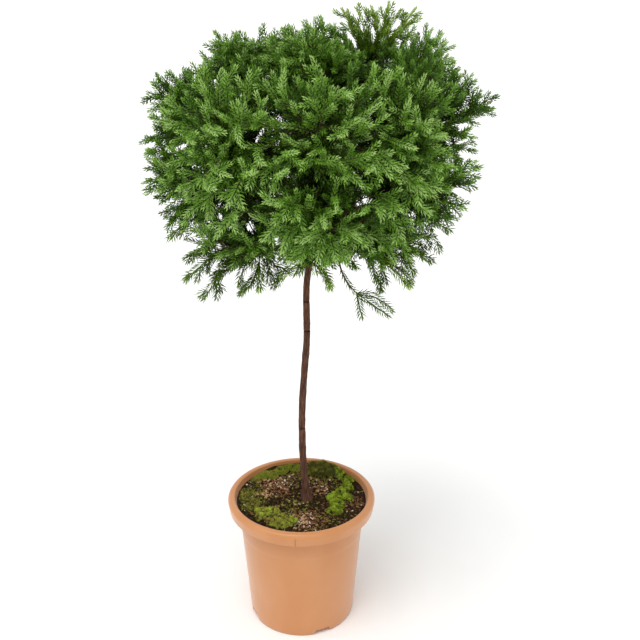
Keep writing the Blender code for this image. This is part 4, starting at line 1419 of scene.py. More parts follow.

# Bright sprays that stand out at the front, in the same way; their lighter greens are painted light
# on the crown's lit front.
FRONDS = (
    (14, -236, 1024, 56, -219, 1007), (119, -227, 1016, 94, -218, 995),
    (129, -230, 1001, 104, -222, 980), (61, -255, 975, 85, -240, 980),
    (94, -257, 906, 79, -237, 924), (61, -261, 948, 35, -251, 937), (110, -251, 952, 83, -240, 940),
    (100, -256, 925, 120, -241, 935), (135, -246, 915, 127, -228, 932),
    (149, -241, 924, 131, -226, 933), (171, -227, 953, 146, -211, 959),
    (186, -221, 886, 167, -202, 901), (110, -195, 1065, 111, -192, 1041),
    (135, -198, 1055, 125, -194, 1034), (153, -193, 1051, 145, -189, 1029),
    (26, -224, 1047, 53, -208, 1050), (79, -235, 1022, 70, -215, 1041),
    (-37, -227, 1023, -59, -220, 1003), (-39, -236, 1005, -63, -227, 995),
    (-77, -240, 964, -80, -223, 982), (-111, -222, 972, -128, -206, 984),
    (-143, -203, 957, -169, -188, 962), (-53, -252, 926, -79, -242, 918),
    (-42, -253, 936, -58, -239, 946), (5, -259, 955, -24, -247, 947),
    (-10, -261, 931, -27, -255, 918), (-97, -235, 872, -83, -211, 894),
    (-114, -230, 897, -144, -215, 898), (-89, -242, 918, -125, -224, 921),
    (-45, -250, 882, -13, -233, 883), (-14, -253, 859, -13, -235, 878),
    (6, -256, 859, -3, -237, 877), (10, -247, 822, 34, -226, 837), (42, -255, 847, 38, -238, 863),
    (59, -259, 874, 57, -236, 897), (76, -231, 789, 68, -212, 806),
    (124, -242, 856, 126, -222, 876), (93, -253, 866, 112, -238, 876),
    (157, -216, 821, 152, -197, 840), (150, -233, 866, 139, -213, 884),
    (94, -242, 824, 70, -219, 840), (32, -235, 790, 38, -215, 810), (60, -233, 789, 55, -213, 809),
    (148, -201, 779, 138, -178, 802), (-86, -225, 832, -102, -206, 848),
    (-116, -221, 822, -106, -202, 841), (-44, -235, 823, -30, -217, 839),
    (-20, -235, 805, -14, -217, 824), (6, -233, 789, 10, -213, 809),
    (-165, -189, 848, -144, -173, 858), (-175, -178, 883, -151, -163, 890),
    (-192, -155, 916, -169, -141, 921), (-205, -117, 976, -180, -107, 969),
    (-197, -112, 1005, -176, -105, 992), (-136, -167, 1040, -126, -164, 1019),
    (-98, -188, 1054, -95, -185, 1029), (-62, -198, 1057, -66, -195, 1033),
    (-13, -212, 1056, -20, -208, 1032), (-79, -218, 1019, -76, -215, 994),
    (184, -173, 1048, 172, -168, 1024), (207, -168, 1027, 187, -161, 1007),
    (214, -192, 967, 190, -181, 961), (227, -189, 923, 200, -176, 920),
    (209, -205, 890, 185, -191, 892), (196, -205, 852, 176, -188, 863),
    (161, -209, 1018, 151, -205, 993), (194, -201, 989, 171, -193, 977),
)

# Hollows in the front of the crown: azimuth, elevation and width in degrees, and depth as a share.
HOLLOWS = (
    (271, 36, 9, 0.20), (280, 37, 8, 0.18), (252, 15, 9, 0.22), (276, 12, 8, 0.22),
    (288, 11, 6, 0.15), (261, 0, 6, 0.20), (278, 4, 6, 0.20), (245, -3, 8, 0.18),
    (242, -8, 8, 0.15), (267, -5, 9, 0.20), (292, 16, 7, 0.20), (291, -14, 8, 0.18),
    (283, -4, 9, 0.20), (264, 25, 7, 0.20), (247, 11, 6, 0.15), (232, 17, 6, 0.12),
    (237, 6, 9, 0.12), (278, 14, 8, 0.12), (300, 4, 9, 0.12), (258, -9, 8, 0.14),
    (228, -8, 8, 0.12),
)

# Openings that let the light through: a point on each line of sight and its radius, in millimetres.
WINDOWS = (
    (-69, 8, 924, 8), (-60, 13, 938, 7), (-86, 12, 937, 3), (-140, 42, 1014, 7),
    (-80, -44, 790, 13), (-120, -22, 848, 7), (108, -28, 833, 10), (97, -30, 827, 7),
    (120, -29, 830, 7), (82, -37, 810, 7), (189, -36, 811, 10), (70, -49, 779, 7),
    (44, -31, 824, 6), (32, -27, 837, 5), (111, 54, 1045, 7), (105, 57, 1052, 5),
    (143, -61, 747, 7), (244, 19, 954, 10), (265, 25, 969, 11), (245, 6, 920, 7),
    (-52, -16, 863, 5), (-29, 20, 957, 3), (93, 64, 1071, 7), (128, 66, 1075, 8),
    (166, 64, 1069, 7), (83, 69, 1083, 8), (159, -59, 753, 7), (-175, -39, 804, 7),
    (-115, -45, 789, 8), (-127, -56, 761, 11), (-179, -15, 866, 7), (-191, -9, 881, 5),
    (-61, -60, 735, 16), (-71, -69, 720, 14), (-87, -68, 727, 12), (-123, -60, 762, 14),
    (-137, -73, 739, 9), (263, -48, 853, 12), (274, -51, 856, 10), (266, -28, 955, 12),
    (110, -57, 736, 12), (151, -67, 727, 14), (159, -76, 712, 14), (-126, -80, 719, 9),
    (-206, -56, 839, 9), (-81, -42, 788, 8), (-74, 4, 1092, 12), (1, 10, 1108, 10),
    (-159, -12, 1051, 10), (-86, 2, 1100, 8), (-170, -15, 1045, 8), (-175, -66, 781, 10),
    (-128, -61, 763, 16), (-67, -61, 735, 16), (99, -57, 734, 10), (260, -30, 926, 8),
    (-112, -3, 1106, 8),
)

# Share of the reach that the foliage between the long sprays fills, every 15 degrees round the
# line of sight from +X over the top.
FULLNESS = (
    0.84, 0.92, 0.95, 0.90, 0.76, 0.77, 0.93, 0.96, 0.91, 0.91, 0.91, 0.95,
    0.95, 0.94, 0.88, 0.82, 0.73, 0.75, 0.81, 0.78, 0.82, 0.86, 0.87, 0.88,
)


@dataclass
class Crown:
    """Where the masses lie, and how far the crown reaches each way."""

    centre: Array = own_array((0.035, 0.0, 0.905))
    top: float = 1.136
    sharpness: float = 26.0
    heart_share: float = 0.68
    overreach: float = 0.007
    sight: Pair = (270.0, VIEW_DROP)
    outline_band: Pair = (0.45, 0.92)
    hollow_share: float = 0.7
    viewpoint: Array = own_array(VIEWPOINT)
    window_share: float = 0.40
    window_margin: float = 0.0015

    def __post_init__(self) -> None:
        """Works out the lobes' directions, hearts and tips."""
        self.directions = np.array([towards(b.azimuth, b.elevation) for b in LOBES])
        self.reaches = np.array([b.reach for b in LOBES])
        spread = self.directions * self.reaches[:, None]
        self.hearts = self.centre + self.heart_share * spread
        self.tips = self.centre + spread

    def reach(self, directions: Array) -> Array:
        """Distance from the centre to the surface along each direction d.

        It is the mean of the lobes' reaches, weighted by exp(sharpness x (lobe . d - 1)).

        Args:
            directions: Unit vectors, one a row.

        Returns:
            One distance a direction, none of which rises above the top.
        """
        weights = np.exp(self.sharpness * (directions @ self.directions.T - 1))
        blend = weights @ self.reaches / weights.sum(axis=1)
        return np.minimum(blend, (self.top - self.centre[2]) / np.maximum(directions[:, 2], 1e-6))

    def fullness(self, directions: Array) -> Array:
        """Share of the reach that is filled.

        It is the table's at the outline and 1 where a direction faces the sight, and each hollow
        lowers it by hollow share x depth x exp(-(angle off / width)^2).

        Args:
            directions: Unit vectors, one a row.

        Returns:
            One share a direction.
        """
        sight = towards(*self.sight)
        right = np.array([1.0, 0, 0])
        x, y = directions @ right, directions @ np.cross(sight, right)
        turn = np.degrees(np.arctan2(y, x)) % 360
        steps = np.linspace(0, 360, len(FULLNESS) + 1)
        table = np.interp(turn, steps, (*FULLNESS, FULLNESS[0]))
        share = 1 - (1 - table) * smoothstep(np.hypot(x, y), *self.outline_band)
        for azimuth, elevation, width, depth in HOLLOWS:
            off = np.arccos(np.clip(directions @ towards(azimuth, elevation), -1, 1))
            dip = self.hollow_share * depth * np.exp(-((off / math.radians(width)) ** 2))
            share = share * (1 - dip)
        return share

    def in_window(self, points: Array) -> bool:
        """Whether a line of sight that stays open passes too near.

        Args:
            points: Places, one a row.

        Returns:
            True if one of the places is nearer than the window's share and margin.
        """
        windows = np.array(WINDOWS) / MILLIMETRES
        lines = unit(windows[:, :3] - self.viewpoint)
        offset = points[:, None] - self.viewpoint
        along = (offset * lines).sum(axis=2, keepdims=True)
        off = np.linalg.norm(offset - along * lines, axis=2)
        return bool((off < windows[:, 3] * self.window_share + self.window_margin).any())

    def holds(self, point: Array, filled: bool = True) -> bool:
        """Whether the crown holds a point, with the overreach added.

        Args:
            point: The place.
            filled: Whether the limit is the filled part, and not the reach.

        Returns:
            True if the place lies within the limit.
        """
        outward = point - self.centre
        distance = np.linalg.norm(outward)
        direction = outward[None] / distance
        limit = self.reach(direction)[0] * (self.fullness(direction)[0] if filled else 1)
        return bool(distance < limit + self.overreach)

    def owner(self, point: Array) -> int:
        """Number of the heart nearest to a point."""
        return int(np.linalg.norm(self.hearts - point, axis=1).argmin())


@dataclass
class Boughs:
    """One tapering limb for each mass, on the centre lines of the solids."""

    crown: Crown
    trunk: Trunk
    lowest: float = 0.717
    highest: float = 0.788
    base_radius: float = 0.0031
    fork_base_radius: float = 0.0029
    tip_radius: float = 0.0021
    leader_socket: float = 0.006
    stem_lead: float = 0.045
    spring: float = 0.42
    rise: float = 0.16
    sides: int = 14
    rows: int = 46
    ridge: float = 0.00028
    collar: float = 0.0012
    collar_fade: float = 0.010
    knot: float = 0.0004
    leader_forks: tuple[tuple[str, float], ...] = (
        ("back_top", 0.16), ("front_top", 0.30), ("top", 0.46), ("top_right", 0.62),
    )
    droop_root: Array = own_array((0.0665, -0.050, 0.740))
    droop_attach: float = 0.7050

    def bough_path(self, start: Array, end: Array, count: int = 15) -> Array:
        """Parabola that leaves the stem steeply and levels out.

        Args:
            start: Where it leaves.
            end: Where it stops.
            count: Number of points.

        Returns:
            Centre line of the bough.
        """
        run = end - start
        rise = np.array([0, 0, self.rise * np.linalg.norm(run[:2])])
        control = start + self.spring * run + rise
        return arc_path(start, control, end, count)

    def end_of(self, start: Array, heart: Array) -> Array:
        """Where a bough stops: this far short of its heart."""
        return heart - self.stem_lead * unit(heart - start)

    def leader_path(self) -> Array:
        """The stem's own line carried on from the fork."""
        centres, _ = self.trunk.rings(22)
        onward = unit(centres[-1] - centres[-2])
        start = centres[-1]
        bend = start + self.leader_socket * onward
        end = self.end_of(start, self.crown.hearts[-1])
        arc = arc_path(bend, bend + 0.4 * np.linalg.norm(end - bend) * onward, end, 15)
        return np.vstack([start, arc])

    def paths(self) -> dict[str, tuple[Array, float, float]]:
        """Centre line and end radii of every bough, by the name of its mass."""
        leader = self.leader_path()
        forks = dict(self.leader_forks)
        on_trunk = len(LOBES) - len(forks) - 1
        fork_radius = float(self.trunk.thickness(np.array([self.trunk.fork]))[0])
        made = {"leader": (leader, fork_radius, self.tip_radius)}
        for k, lobe in enumerate(LOBES[:-1]):
            if lobe.name in forks:
                along = np.array([forks[lobe.name] * path_lengths(leader)[-1]])
                start, base = path_points(leader, along)[0], self.fork_base_radius
            else:
                height = self.lowest + (self.highest - self.lowest) * len(made) / on_trunk
                start, base = self.trunk.point(height), self.base_radius
            path = self.bough_path(start, self.end_of(start, self.crown.hearts[k]))
            made[lobe.name] = (path, base, self.tip_radius)
        droop = self.bough_path(self.trunk.point(self.droop_attach), self.droop_root)
        made["drooping_spray"] = (droop, self.base_radius * 0.8, self.tip_radius * 0.8)
        return made

    def build(self) -> Piece:
        """Makes every bough, with a collar where it leaves the stem and small knots along it."""
        surface = Surface()
        paths = self.paths()
        for number, (path, base, tip) in enumerate(paths.values()):
            lengths = path_lengths(path)[-1] * np.linspace(0, 1, self.rows)
            places = limb_noise_places(even_turn(self.sides), lengths, 1.6, 130)
            bark = self.ridge * fractal(places, 30 + number).reshape(self.rows, self.sides)
            collar = self.collar * np.exp(-lengths / self.collar_fade)
            knots = self.knot * (np.clip(np.sin(lengths * 260 + number), 0.6, 1) - 0.6)
            radii = np.linspace(base, tip, self.rows) + collar + knots
            line = path_points(path, lengths)
            surface.add(*capped_tube(line, radii[:, None] + bark, self.sides))
        names = [f"bough_{name}" for name in paths]
        boughs = surface.to_object("bough_bark", [BOUGH_BARK.build()], smooth=True)
        return place(boughs, "bough_bark", *names)


# ---- foliage
class Habit(Enum):
    """How needles stand: flattening of their ring, angle in degrees, length and spacing."""

    ROPE = (0.0, 37.0, 0.0090, 0.00105)
    FOXTAIL = (0.0, 40.0, 0.0094, 0.00125)
    COMBED = (0.25, 41.0, 0.0130, 0.00145)
    FRINGED = (0.10, 42.0, 0.0160, 0.00115)


@dataclass
class Shoots:
    """A leafy shoot's sizes, and the meshes that gather shoots."""

    ranks: int = 5
    twist: float = math.radians(1.3)
    wander: float = 0.08
    needle_width: float = 0.0023
    root_share: float = 0.15
    close_from: float = 0.72
    closing: float = 0.4
    lighter_from: float = 0.62
    bud_from: float = 0.88
    axis_radius: float = 0.0010
    axis_taper: float = 0.45
    olive: bool = False
    needles: Surface = field(default_factory=Surface)
    wood: Surface = field(default_factory=Surface)

    def add_needles(
        self, path: Array, habit: Habit, tone: Tone, rng: Chance, thinning: float = 1.0
    ) -> None:
        """Needles in five slowly twisting ranks, each needle two ranks on from the last.

        With s the share of the shoot's length, length = full x (0.7 + 0.3 rise) x (1 - 0.4 close)
        and angle = habit's x (1 - 0.4 close), where rise is smooth over the first 15 % of s and
        close over its last 28 %.

        Args:
            path: Centre line of the shoot.
            habit: How the needles stand.
            tone: Green of the shoot; its end is one tone lighter and its bud two.
            rng: Source of chance.
            thinning: How much further apart than the habit's own the needles stand.
        """
        flatten, degrees, full, spacing = habit.value
        total = path_lengths(path)[-1]
        count = max(8, int(total / (spacing * thinning)))
        s = (np.arange(count) + 0.5) / count
        roots = path_points(path, s * total)
        along = path_headings(path, s * total)
        across, upwards = sides_of(along)
        step = 2 * TURN / self.ranks + self.twist
        turn = step * np.arange(count) + rng.uniform(0, TURN)
        turn = (turn + rng.normal(0, self.wander, count))[:, None]
        out = unit(np.cos(turn) * across + (1 - flatten) * np.sin(turn) * upwards)
        closed = 1 - self.closing * smoothstep(s, self.close_from, 1.0)
        angle = (np.radians(degrees) * closed * rng.uniform(0.92, 1.08, count))[:, None]
        headings = np.cos(angle) * along + np.sin(angle) * out
        outwards = np.cos(angle) * out - np.sin(angle) * along
        lengths = full * (0.7 + 0.3 * smoothstep(s, 0, self.root_share)) * closed
        lengths *= rng.uniform(0.85, 1.12, count)
        width = self.needle_width * thinning**0.7
        points, faces = needle_mesh(roots, headings, outwards, lengths, width)
        bud = (s > self.bud_from) & (not self.olive)
        lighter = np.minimum(int(tone) + (s > self.lighter_from).astype(int) + bud, int(Tone.TIP))
        finish = lighter + len(NEEDLE_FINISHES) * self.olive
        self.needles.add(points, faces, np.repeat(finish, len(NEEDLE_FACES)))

    def add_shoot(
        self, path: Array, habit: Habit, tone: Tone, rng: Chance, thinning: float = 1.0
    ) -> None:
        """A shoot: a three-sided stalk, green but in the shade, and its needles.

        Args:
            path: Centre line of the shoot.
            habit: How the needles stand.
            tone: Green of the shoot.
            rng: Source of chance.
            thinning: How much further apart than the habit's own the needles stand.
        """
        lengths = path_lengths(path)[-1] * np.linspace(0, 1, 3)
        radii = np.linspace(self.axis_radius, self.axis_radius * self.axis_taper, 3)
        self.wood.add(*tube(path_points(path, lengths), radii, 3), int(tone > Tone.SHADE))
        self.add_needles(path, habit, tone, rng, thinning)


@dataclass(frozen=True)
class Spray:
    """How a spray is made: its greens, how far it is leafy, and its leading and side shoots."""

    tones: tuple[Tone, ...]
    leafy: float
    lead: Pair = (0.042, 0.060)
    side_spacing: float = 0.0125
    side_lengths: Pair = (0.014, 0.040)
    thinning: float = 1.0
    olive: bool = False


@dataclass(frozen=True)
class Layer:
    """Sprays at one depth of the crown: how many, and how far out as shares of the reach."""

    aims: int
    nearest: float
    furthest: float
    spray: Spray


Aim = tuple[Array, Spray]
Lead = tuple[Array, Array, Spray]

# The outer shell's sprays take the lighter greens, and each layer further in takes darker ones:
# painted light outside and painted shade inside the crown, laid over the random green that each
# spray draws.
OUTER = Spray(
    (Tone.DARK, Tone.MIDDLE, Tone.FRESH, Tone.LIGHT), 0.076, (0.048, 0.064), 0.0190, (0.018, 0.036)
)
LAYERS = (
    Layer(520, 0.92, 1.0, OUTER),
    Layer(1000, 0.76, 0.93, Spray((Tone.SHADE, Tone.DARK, Tone.DARK), 0.062, thinning=1.3)),
    Layer(500, 0.48, 0.72, Spray((Tone.DEEP_SHADE, Tone.DEEP_SHADE, Tone.SHADE), 0.060, thinning=1.5)),
    Layer(110, 0.20, 0.46, Spray((Tone.DEEP_SHADE,), 0.060, thinning=1.6)),
)
LEAD = Spray((Tone.DARK, Tone.MIDDLE, Tone.FRESH), 0.080, (0.055, 0.075))
# The sprays on the top, the fan at the summit and the fronds at the front take lighter greens:
# painted light where light falls on the top and front of the crown.
TOP = Spray((Tone.FRESH, Tone.FRESH, Tone.LIGHT), 0.080, (0.055, 0.075))
FROND = Spray((Tone.FRESH, Tone.LIGHT, Tone.LIGHT), 0.070, (0.050, 0.066), 0.0165, (0.018, 0.034))
HANGING = Spray((Tone.DARK, Tone.MIDDLE), 0.085, (0.080, 0.100), 0.0240, (0.012, 0.026), olive=True)
FAN = Spray(
    (Tone.MIDDLE, Tone.FRESH, Tone.FRESH), 0.095, (0.110, 0.135), 0.0150, (0.014, 0.030), olive=True
)


@dataclass
class Foliage:
    """Grows one mass: its stem from the bough's tip, the twigs that leave it, and their shoots."""

    crown: Crown
    number: int
    bough: Array
    shoots: Shoots
    stem_past_heart: float = 0.30
    stem_radii: Pair = (0.0021, 0.0010)
    fork_angle: float = math.radians(45)
    twig_radii: Pair = (0.0013, 0.0008)
    twig_lift: float = 0.26
    sag: float = 0.60
    lift_from: float = 0.030
    lift_span: float = 0.15
    stray: float = 0.75
    hang_below: float = -0.15
    rope_above: float = 0.15
    rope_right_of: float = 0.05
    side_first: float = 0.012
    side_angle: float = math.radians(54)
    side_growth: float = 0.38
    sunny: Array = own_array(((-0.57, -0.35, 0.74), (0.05, -0.68, -0.73)))
    sunny_above: float = 0.66
    shady_below: float = -0.55

    def __post_init__(self) -> None:
        """Lays the stem and starts the mass's own chance."""
        self.rng = np.random.default_rng([SEED, self.number])
        start = self.bough[-1]
        heart, tip = self.crown.hearts[self.number], self.crown.tips[self.number]
        last = heart + self.stem_past_heart * (tip - heart)
        self.stem = arc_path(start, start + 0.8 * (heart - start), last, 15)

    def leaving_distance(self, target: Array) -> float:
        """Where a straight twig to the target leaves the stem nearest to the fork angle.

        Args:
            target: Where the twig ends.

        Returns:
            Distance from the stem's start.
        """
        total = path_lengths(self.stem)[-1]
        distances = np.linspace(0.06, 0.96, 24) * total
        courses = unit(target - path_points(self.stem, distances))
        cosines = (courses * path_headings(self.stem, distances)).sum(axis=1)
        return float(distances[np.abs(cosines - math.cos(self.fork_angle)).argmin()])

    def twig_path(self, target: Array, course: Array | None = None) -> Array:
        """A twig to the target that turns up in the top of the crown and down in its foot.

        Args:
            target: Where it ends.
            course: Its heading there, where that is given.

        Returns:
            Its centre line.
        """
        distance = self.leaving_distance(target) + self.rng.uniform(-0.008, 0.008)
        start = path_points(self.stem, np.array([max(distance, 0.004)]))[0]
        if course is None:
            away = unit(target - self.crown.hearts[self.number])
            sideways = np.cross(away, unit(self.rng.normal(size=3)))
            lift = self.lift_at(target) * np.array([0, 0, 1.0])
            course = unit(away + self.stray * sideways + lift)
        control = target - 0.5 * np.linalg.norm(target - start) * course
        return arc_path(start, control, target, 17)

    def lift_at(self, point: Array) -> float:
        """How strongly shoots turn up: from -sag to twig lift, linear in the height between.

        Args:
            point: Where the shoot is.

        Returns:
            The upward share of its course.
        """
        above = point[2] - self.crown.centre[2] + self.lift_from
        lift = np.clip(above / self.lift_span, -1, 1)
        return float(lift * (self.twig_lift if lift > 0 else self.sag))

    def tone_at(self, tone: Tone, point: Array) -> Tone:
        """Makes every second tone one step lighter in the sun and darker in the shade.

        Args:
            tone: The tone that was drawn.
            point: Where the spray ends.

        Returns:
            The tone that it gets.
        """
        facing = unit(self.sunny) @ unit(point - self.crown.centre)
        lighter = facing.max() > self.sunny_above
        shift = int(lighter) - int(not lighter and facing[0] < self.shady_below)
        return Tone(min(int(tone) + shift * (int(tone) % 2), int(Tone.LIGHT)))

    def habit_at(self, point: Array, heading: Array) -> Habit:
        """Shoots that hang in the foot of the crown are combed, and those at its top are ropes.

        Args:
            point: Where the shoot ends.
            heading: Its course.

        Returns:
            How its needles stand.
        """
        height = point[2] - self.crown.centre[2]
        if heading[2] < self.hang_below and height < 0:
            return Habit.FRINGED if self.shoots.olive else Habit.COMBED
        rope = height > self.rope_above and heading[2] > 0 and point[0] > self.rope_right_of
        return Habit.ROPE if rope else Habit.FOXTAIL

    def side_path(self, twig: Array, distance: float, length: float, roll: float) -> Array:
        """A side shoot: it leaves the twig at the side angle and bends back towards its course.

        Args:
            twig: Centre line of the twig.
            distance: Where it leaves, from the twig's start.
            length: Its length.
            roll: Which side of the twig it leaves, in radians.

        Returns:
            Centre line of the side shoot.
        """
        root = path_points(twig, np.array([distance]))[0]
        heading = path_headings(twig, np.array([distance]))
        across, upwards = sides_of(heading)
        sideways = math.cos(roll) * across[0] + math.sin(roll) * upwards[0]
        leave = math.cos(self.side_angle) * heading[0] + math.sin(self.side_angle) * sideways
        settle = unit(leave + 0.30 * heading[0] + (0, 0, 0.5 * self.lift_at(root)))
        return arc_path(root, root + 0.5 * length * leave, root + length * settle, 7)

    def add_sides(self, path: Array, spray: Spray, tone: Tone, leafy: float, free: bool) -> None:
        """Side shoots along the end of a twig, longer further back, each a golden turn on.

        Args:
            path: Centre line of the twig.
            spray: How the spray is made.
            tone: Green of its leading shoot.
            leafy: How far back from the twig's end the side shoots go.
            free: Whether it may stand out past the filled part of the crown.
        """
        total = float(path_lengths(path)[-1])
        shortest, longest = spray.side_lengths
        roll = self.rng.uniform(0, TURN)
        behind = self.side_first + self.rng.uniform(0, 0.006)
        while behind < leafy:
            length = float(min(shortest + self.side_growth * behind, longest))
            length *= self.rng.uniform(0.85, 1.15)
            side = self.side_path(path, total - behind, length, roll)
            if self.crown.holds(side[-1], filled=not free) and not self.crown.in_window(side):
                darker = int(tone) + self.rng.integers(-1, 1)
                own = Tone(int(np.clip(darker, Tone.DEEP_SHADE, Tone.LIGHT)))
                habit = self.habit_at(side[-1], unit(side[-1] - side[0]))
                self.shoots.add_shoot(side, habit, own, self.rng, spray.thinning)
            roll += GOLDEN_TURN + self.rng.uniform(-0.3, 0.3)
            behind += spray.side_spacing * self.rng.uniform(0.8, 1.25)

    def add_spray(self, target: Array, spray: Spray, course: Array | None = None) -> None:
        """A twig with its leading shoot and the side shoots behind it.

        Args:
            target: Where the leading shoot ends.
            spray: How it is made.
            course: Heading of the leading shoot, for one of the long sprays.
        """
        path = self.twig_path(target, course)
        total = float(path_lengths(path)[-1])
        tone = self.tone_at(spray.tones[self.rng.integers(len(spray.tones))], target)
        lead = min(self.rng.uniform(*spray.lead), 0.8 * total)
        self.shoots.olive = spray.olive
        bare = path_points(path, np.linspace(0, total - 0.6 * lead, 7))
        self.shoots.wood.add(*tube(bare, np.linspace(*self.twig_radii, 7), 3), 0)
        leading = path_points(path, np.linspace(total - lead, total, 9))
        if course is not None or not self.crown.in_window(leading):
            habit = self.habit_at(target, unit(leading[-1] - leading[0]))
            self.shoots.add_shoot(leading, habit, tone, self.rng, spray.thinning)
        self.add_sides(path, spray, tone, min(spray.leafy, 0.85 * total), course is not None)

    def grow(self, aims: list[Aim], leads: list[Lead]) -> None:
        """Adds the stem, the long sprays of this mass and a spray for each aim.

        Args:
            aims: Where the sprays end, and how they are made.
            leads: Where the long sprays end, their headings, and how they are made.
        """
        radii = np.linspace(*self.stem_radii, len(self.stem))
        self.shoots.wood.add(*tube(self.stem, radii, 6), 0)
        for tip, course, spray in leads:
            self.add_spray(tip, spray, course)
        for target, spray in aims:
            self.add_spray(target, spray)


@dataclass
class DroopingSpray:
    """The one long spray that hangs free below the crown and forks near its end."""

    root: Array
    shoots: Shoots
    radii: Pair = (0.0017, 0.0010)
    hang: Array = own_array((0.0696, -0.055, 0.7039))
    bend: Array = own_array((0.0990, -0.060, 0.6777))
    rises: tuple[float, ...] = (0.022, 0.003, 0.002)
    tips: Array = own_array(
        ((0.158, -0.064, 0.648), (0.1520, -0.050, 0.634), (0.106, -0.062, 0.636))
    )

    def grow(self) -> None:
        """Adds the arching stem with needles along it, and the three end shoots."""
        rng = np.random.default_rng([SEED, 77])
        stem = arc_path(self.root, self.hang, self.bend, 15)
        self.shoots.wood.add(*tube(stem, np.linspace(*self.radii, len(stem)), 6), 0)
        self.shoots.olive = True
        self.shoots.add_needles(stem[4:], Habit.COMBED, Tone.DARK, rng)
        start = self.bend - 0.002 * unit(stem[-1] - stem[-2])
        for tip, rise in zip(self.tips, self.rises, strict=True):
            control = self.bend + 0.5 * (tip - self.bend) + np.array([0, 0, rise])
            self.shoots.add_shoot(arc_path(start, control, tip, 9), Habit.FRINGED, Tone.DARK, rng)


@dataclass
class Canopy:
    """The whole crown of foliage, gathered into pieces by the side of the crown."""

    crown: Crown
    boughs: Boughs
    hanging_below: float = 0.79
    top_above: float = 1.050
    fan_above: float = 1.117
    sides: tuple[tuple[str, tuple[str, ...]], ...] = (
        ("foot", ("low_centre", "back_low", "low_right")),
        ("low_left", ("low_left", "left_low", "front_low")),
        ("back", ("back_right", "back_left", "back")),
        ("front", ("front", "front_right", "front_left")),
        ("left", ("left", "top_left", "back_top")),
        ("right", ("right_low", "right_fan", "top_right")),
        ("summit", ("front_top", "top", "leader")),
    )

    def aims(self) -> list[list[Aim]]:
        """Targets of the twigs, each given to the mass whose heart is nearest."""
        rng = np.random.default_rng(SEED)
        dealt: list[list[Aim]] = [[] for _ in LOBES]
        for layer in LAYERS:
            directions = lattice(layer.aims)
            reaches = self.crown.reach(directions) * self.crown.fullness(directions)
            depths = rng.uniform(layer.nearest, layer.furthest, layer.aims)
            for point in self.crown.centre + (depths * reaches)[:, None] * directions:
                dealt[self.crown.owner(point)].append((point, layer.spray))
        return dealt

    def long_spray(self, height: float) -> Spray:
        """Chooses how a long spray is made.

        Args:
            height: Height of its tip.

        Returns:
            One of the four kinds, from the foot up.
        """
        if height < self.hanging_below:
            return HANGING
        if height > self.fan_above:
            return FAN
        return TOP if height > self.top_above else LEAD

    def leads(self) -> list[list[Lead]]:
        """Tip, final heading and kind of every long spray, each given to the nearest mass."""
        dealt: list[list[Lead]] = [[] for _ in LOBES]
        rows = [(row, self.long_spray(row[2])) for row in np.array(LEADS) / MILLIMETRES]
        rows += [(row, FROND) for row in np.array(FRONDS) / MILLIMETRES]
        for row, spray in rows:
            tip, before = row[:3], row[3:]
            dealt[self.crown.owner(tip)].append((tip, unit(tip - before), spray))
        return dealt

    def build(self) -> None:
        """Grows every mass and makes the needles and twigs of each side into pieces."""
        aims, leads = self.aims(), self.leads()
        paths = self.boughs.paths()
        numbers = {lobe.name: k for k, lobe in enumerate(LOBES)}
        greens = [f.build() for f in NEEDLE_FINISHES + OLIVE_FINISHES]
        barks = [TWIG_BARK.build(), GREEN_TWIG.build()]
        total = 0
        for side, names in self.sides:
            shoots = Shoots()
            for name in names:
                k = numbers[name]
                Foliage(self.crown, k, paths[name][0], shoots).grow(aims[k], leads[k])
            replaced = [f"mass_{name}" for name in names]
            if side == "foot":
                DroopingSpray(paths["drooping_spray"][0][-1], shoots).grow()
                replaced.append("mass_drooping_spray")
            needles, wood = shoots.needles.triangles(), shoots.wood.triangles()
            log.info("%s: %d triangles of needles, %d of twigs", side, needles, wood)
            total += needles + wood
            leaves = shoots.needles.to_object(f"needles_{side}", greens, smooth=False)
            place(leaves, "needles", *replaced)
            twigs = shoots.wood.to_object(f"twigs_{side}", barks, smooth=True)
            place(twigs, "bough_bark", *replaced)
        log.info("foliage: %d triangles", total)


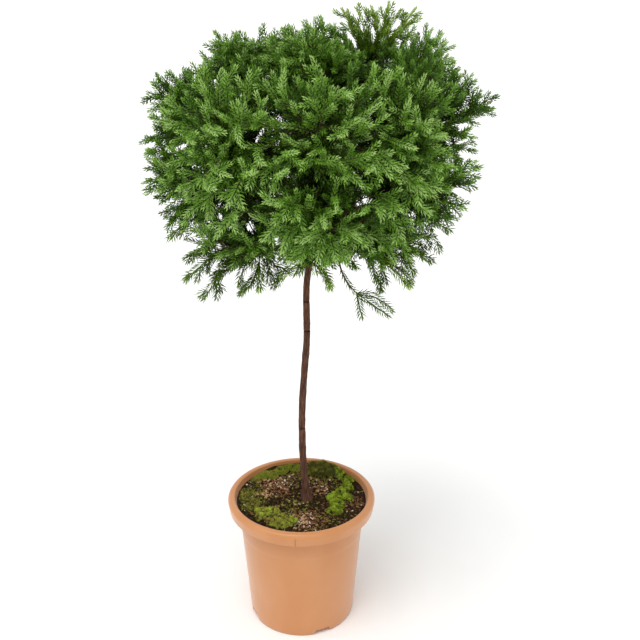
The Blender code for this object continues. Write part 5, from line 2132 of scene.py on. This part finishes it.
# ---- studio
@dataclass
class Studio:
    """A pale floor, a soft white surround, one broad lamp and the camera."""

    camera_place: Triple = VIEWPOINT
    camera_pitch: float = math.radians(90 - VIEW_DROP)
    lens: float = 51.1
    sensor_width: float = 36.0
    floor_half: float = 60.0
    floor_lines: int = 24
    floor_colours: tuple[Colour, Colour] = ((0.93, 0.93, 0.92), (0.95, 0.95, 0.94))
    horizon_light: float = 0.64
    zenith_light: float = 0.92
    sun_strength: float = 1.5
    sun_width: float = math.radians(34)
    sun_from: Pair = (240.0, 67.0)

    def build_floor(self) -> None:
        """A level sheet under the pot, with finer quads near it: half width x t^3."""
        n = self.floor_lines
        t = np.linspace(-1, 1, n)
        line = self.floor_half * np.sign(t) * np.abs(t) ** 3
        x, y = np.meshgrid(line, line, indexing="ij")
        surface = Surface()
        points = np.column_stack([x.ravel(), y.ravel(), np.zeros(n * n)])
        surface.add(points, grid_faces(n, n, wrapped=False)[:, ::-1])
        stops = tuple(zip((0.4, 0.6), self.floor_colours, strict=True))
        pale = MottledFinish("studio floor", stops, scale=3, roughness=0.8, relief=0.0)
        surface.to_object("studio_floor", [pale.build()], smooth=False)

    def build_lights(self) -> None:
        """Surround that brightens upwards, and one broad soft lamp high up."""
        world = bpy.data.worlds.new("surround")
        world.use_nodes = True
        tree = world.node_tree
        background = tree.nodes["Background"]
        direction = tree.nodes.new("ShaderNodeTexCoord")
        axes = tree.nodes.new("ShaderNodeSeparateXYZ")
        rise = tree.nodes.new("ShaderNodeMapRange")
        set_sockets(rise, To_Min=self.horizon_light, To_Max=self.zenith_light)
        link(direction, "Generated", axes, "Vector")
        link(axes, "Z", rise, "Value")
        link(rise, "Result", background, "Strength")
        set_sockets(background, Color=(1.0, 1.0, 1.0, 1.0))
        bpy.context.scene.world = world
        data = bpy.data.lights.new("softbox", "SUN")
        data.energy = self.sun_strength
        data.angle = self.sun_width
        lamp = bpy.data.objects.new("softbox", data)
        azimuth, elevation = self.sun_from
        lamp.rotation_euler = (math.radians(90 - elevation), 0, math.radians(azimuth + 90))
        lamp.location = 3 * towards(azimuth, elevation)
        bpy.context.scene.collection.objects.link(lamp)

    def build_camera(self) -> None:
        """The camera, which looks along +Y and a little down."""
        data = bpy.data.cameras.new("camera")
        data.lens = self.lens
        data.sensor_width = self.sensor_width
        camera = bpy.data.objects.new("camera", data)
        camera.location = self.camera_place
        camera.rotation_euler = (self.camera_pitch, 0, 0)
        bpy.context.scene.collection.objects.link(camera)
        bpy.context.scene.camera = camera

    def build(self) -> None:
        """Sets up the studio."""
        bpy.context.scene.view_settings.view_transform = "Standard"
        self.build_floor()
        self.build_lights()
        self.build_camera()


def main() -> None:
    """Builds the studio and the plant, from the pot up."""
    logging.basicConfig(level=logging.INFO, format="%(name)s: %(message)s")
    Studio().build()
    container = Container()
    container.build()
    mix = PottingMix(container)
    mix.build_ground()
    mix.build_litter()
    MossBed(mix).build()
    trunk = Trunk()
    trunk.build()
    crown = Crown()
    boughs = Boughs(crown, trunk)
    boughs.build()
    Canopy(crown, boughs).build()


if __name__ == "__main__":
    main()
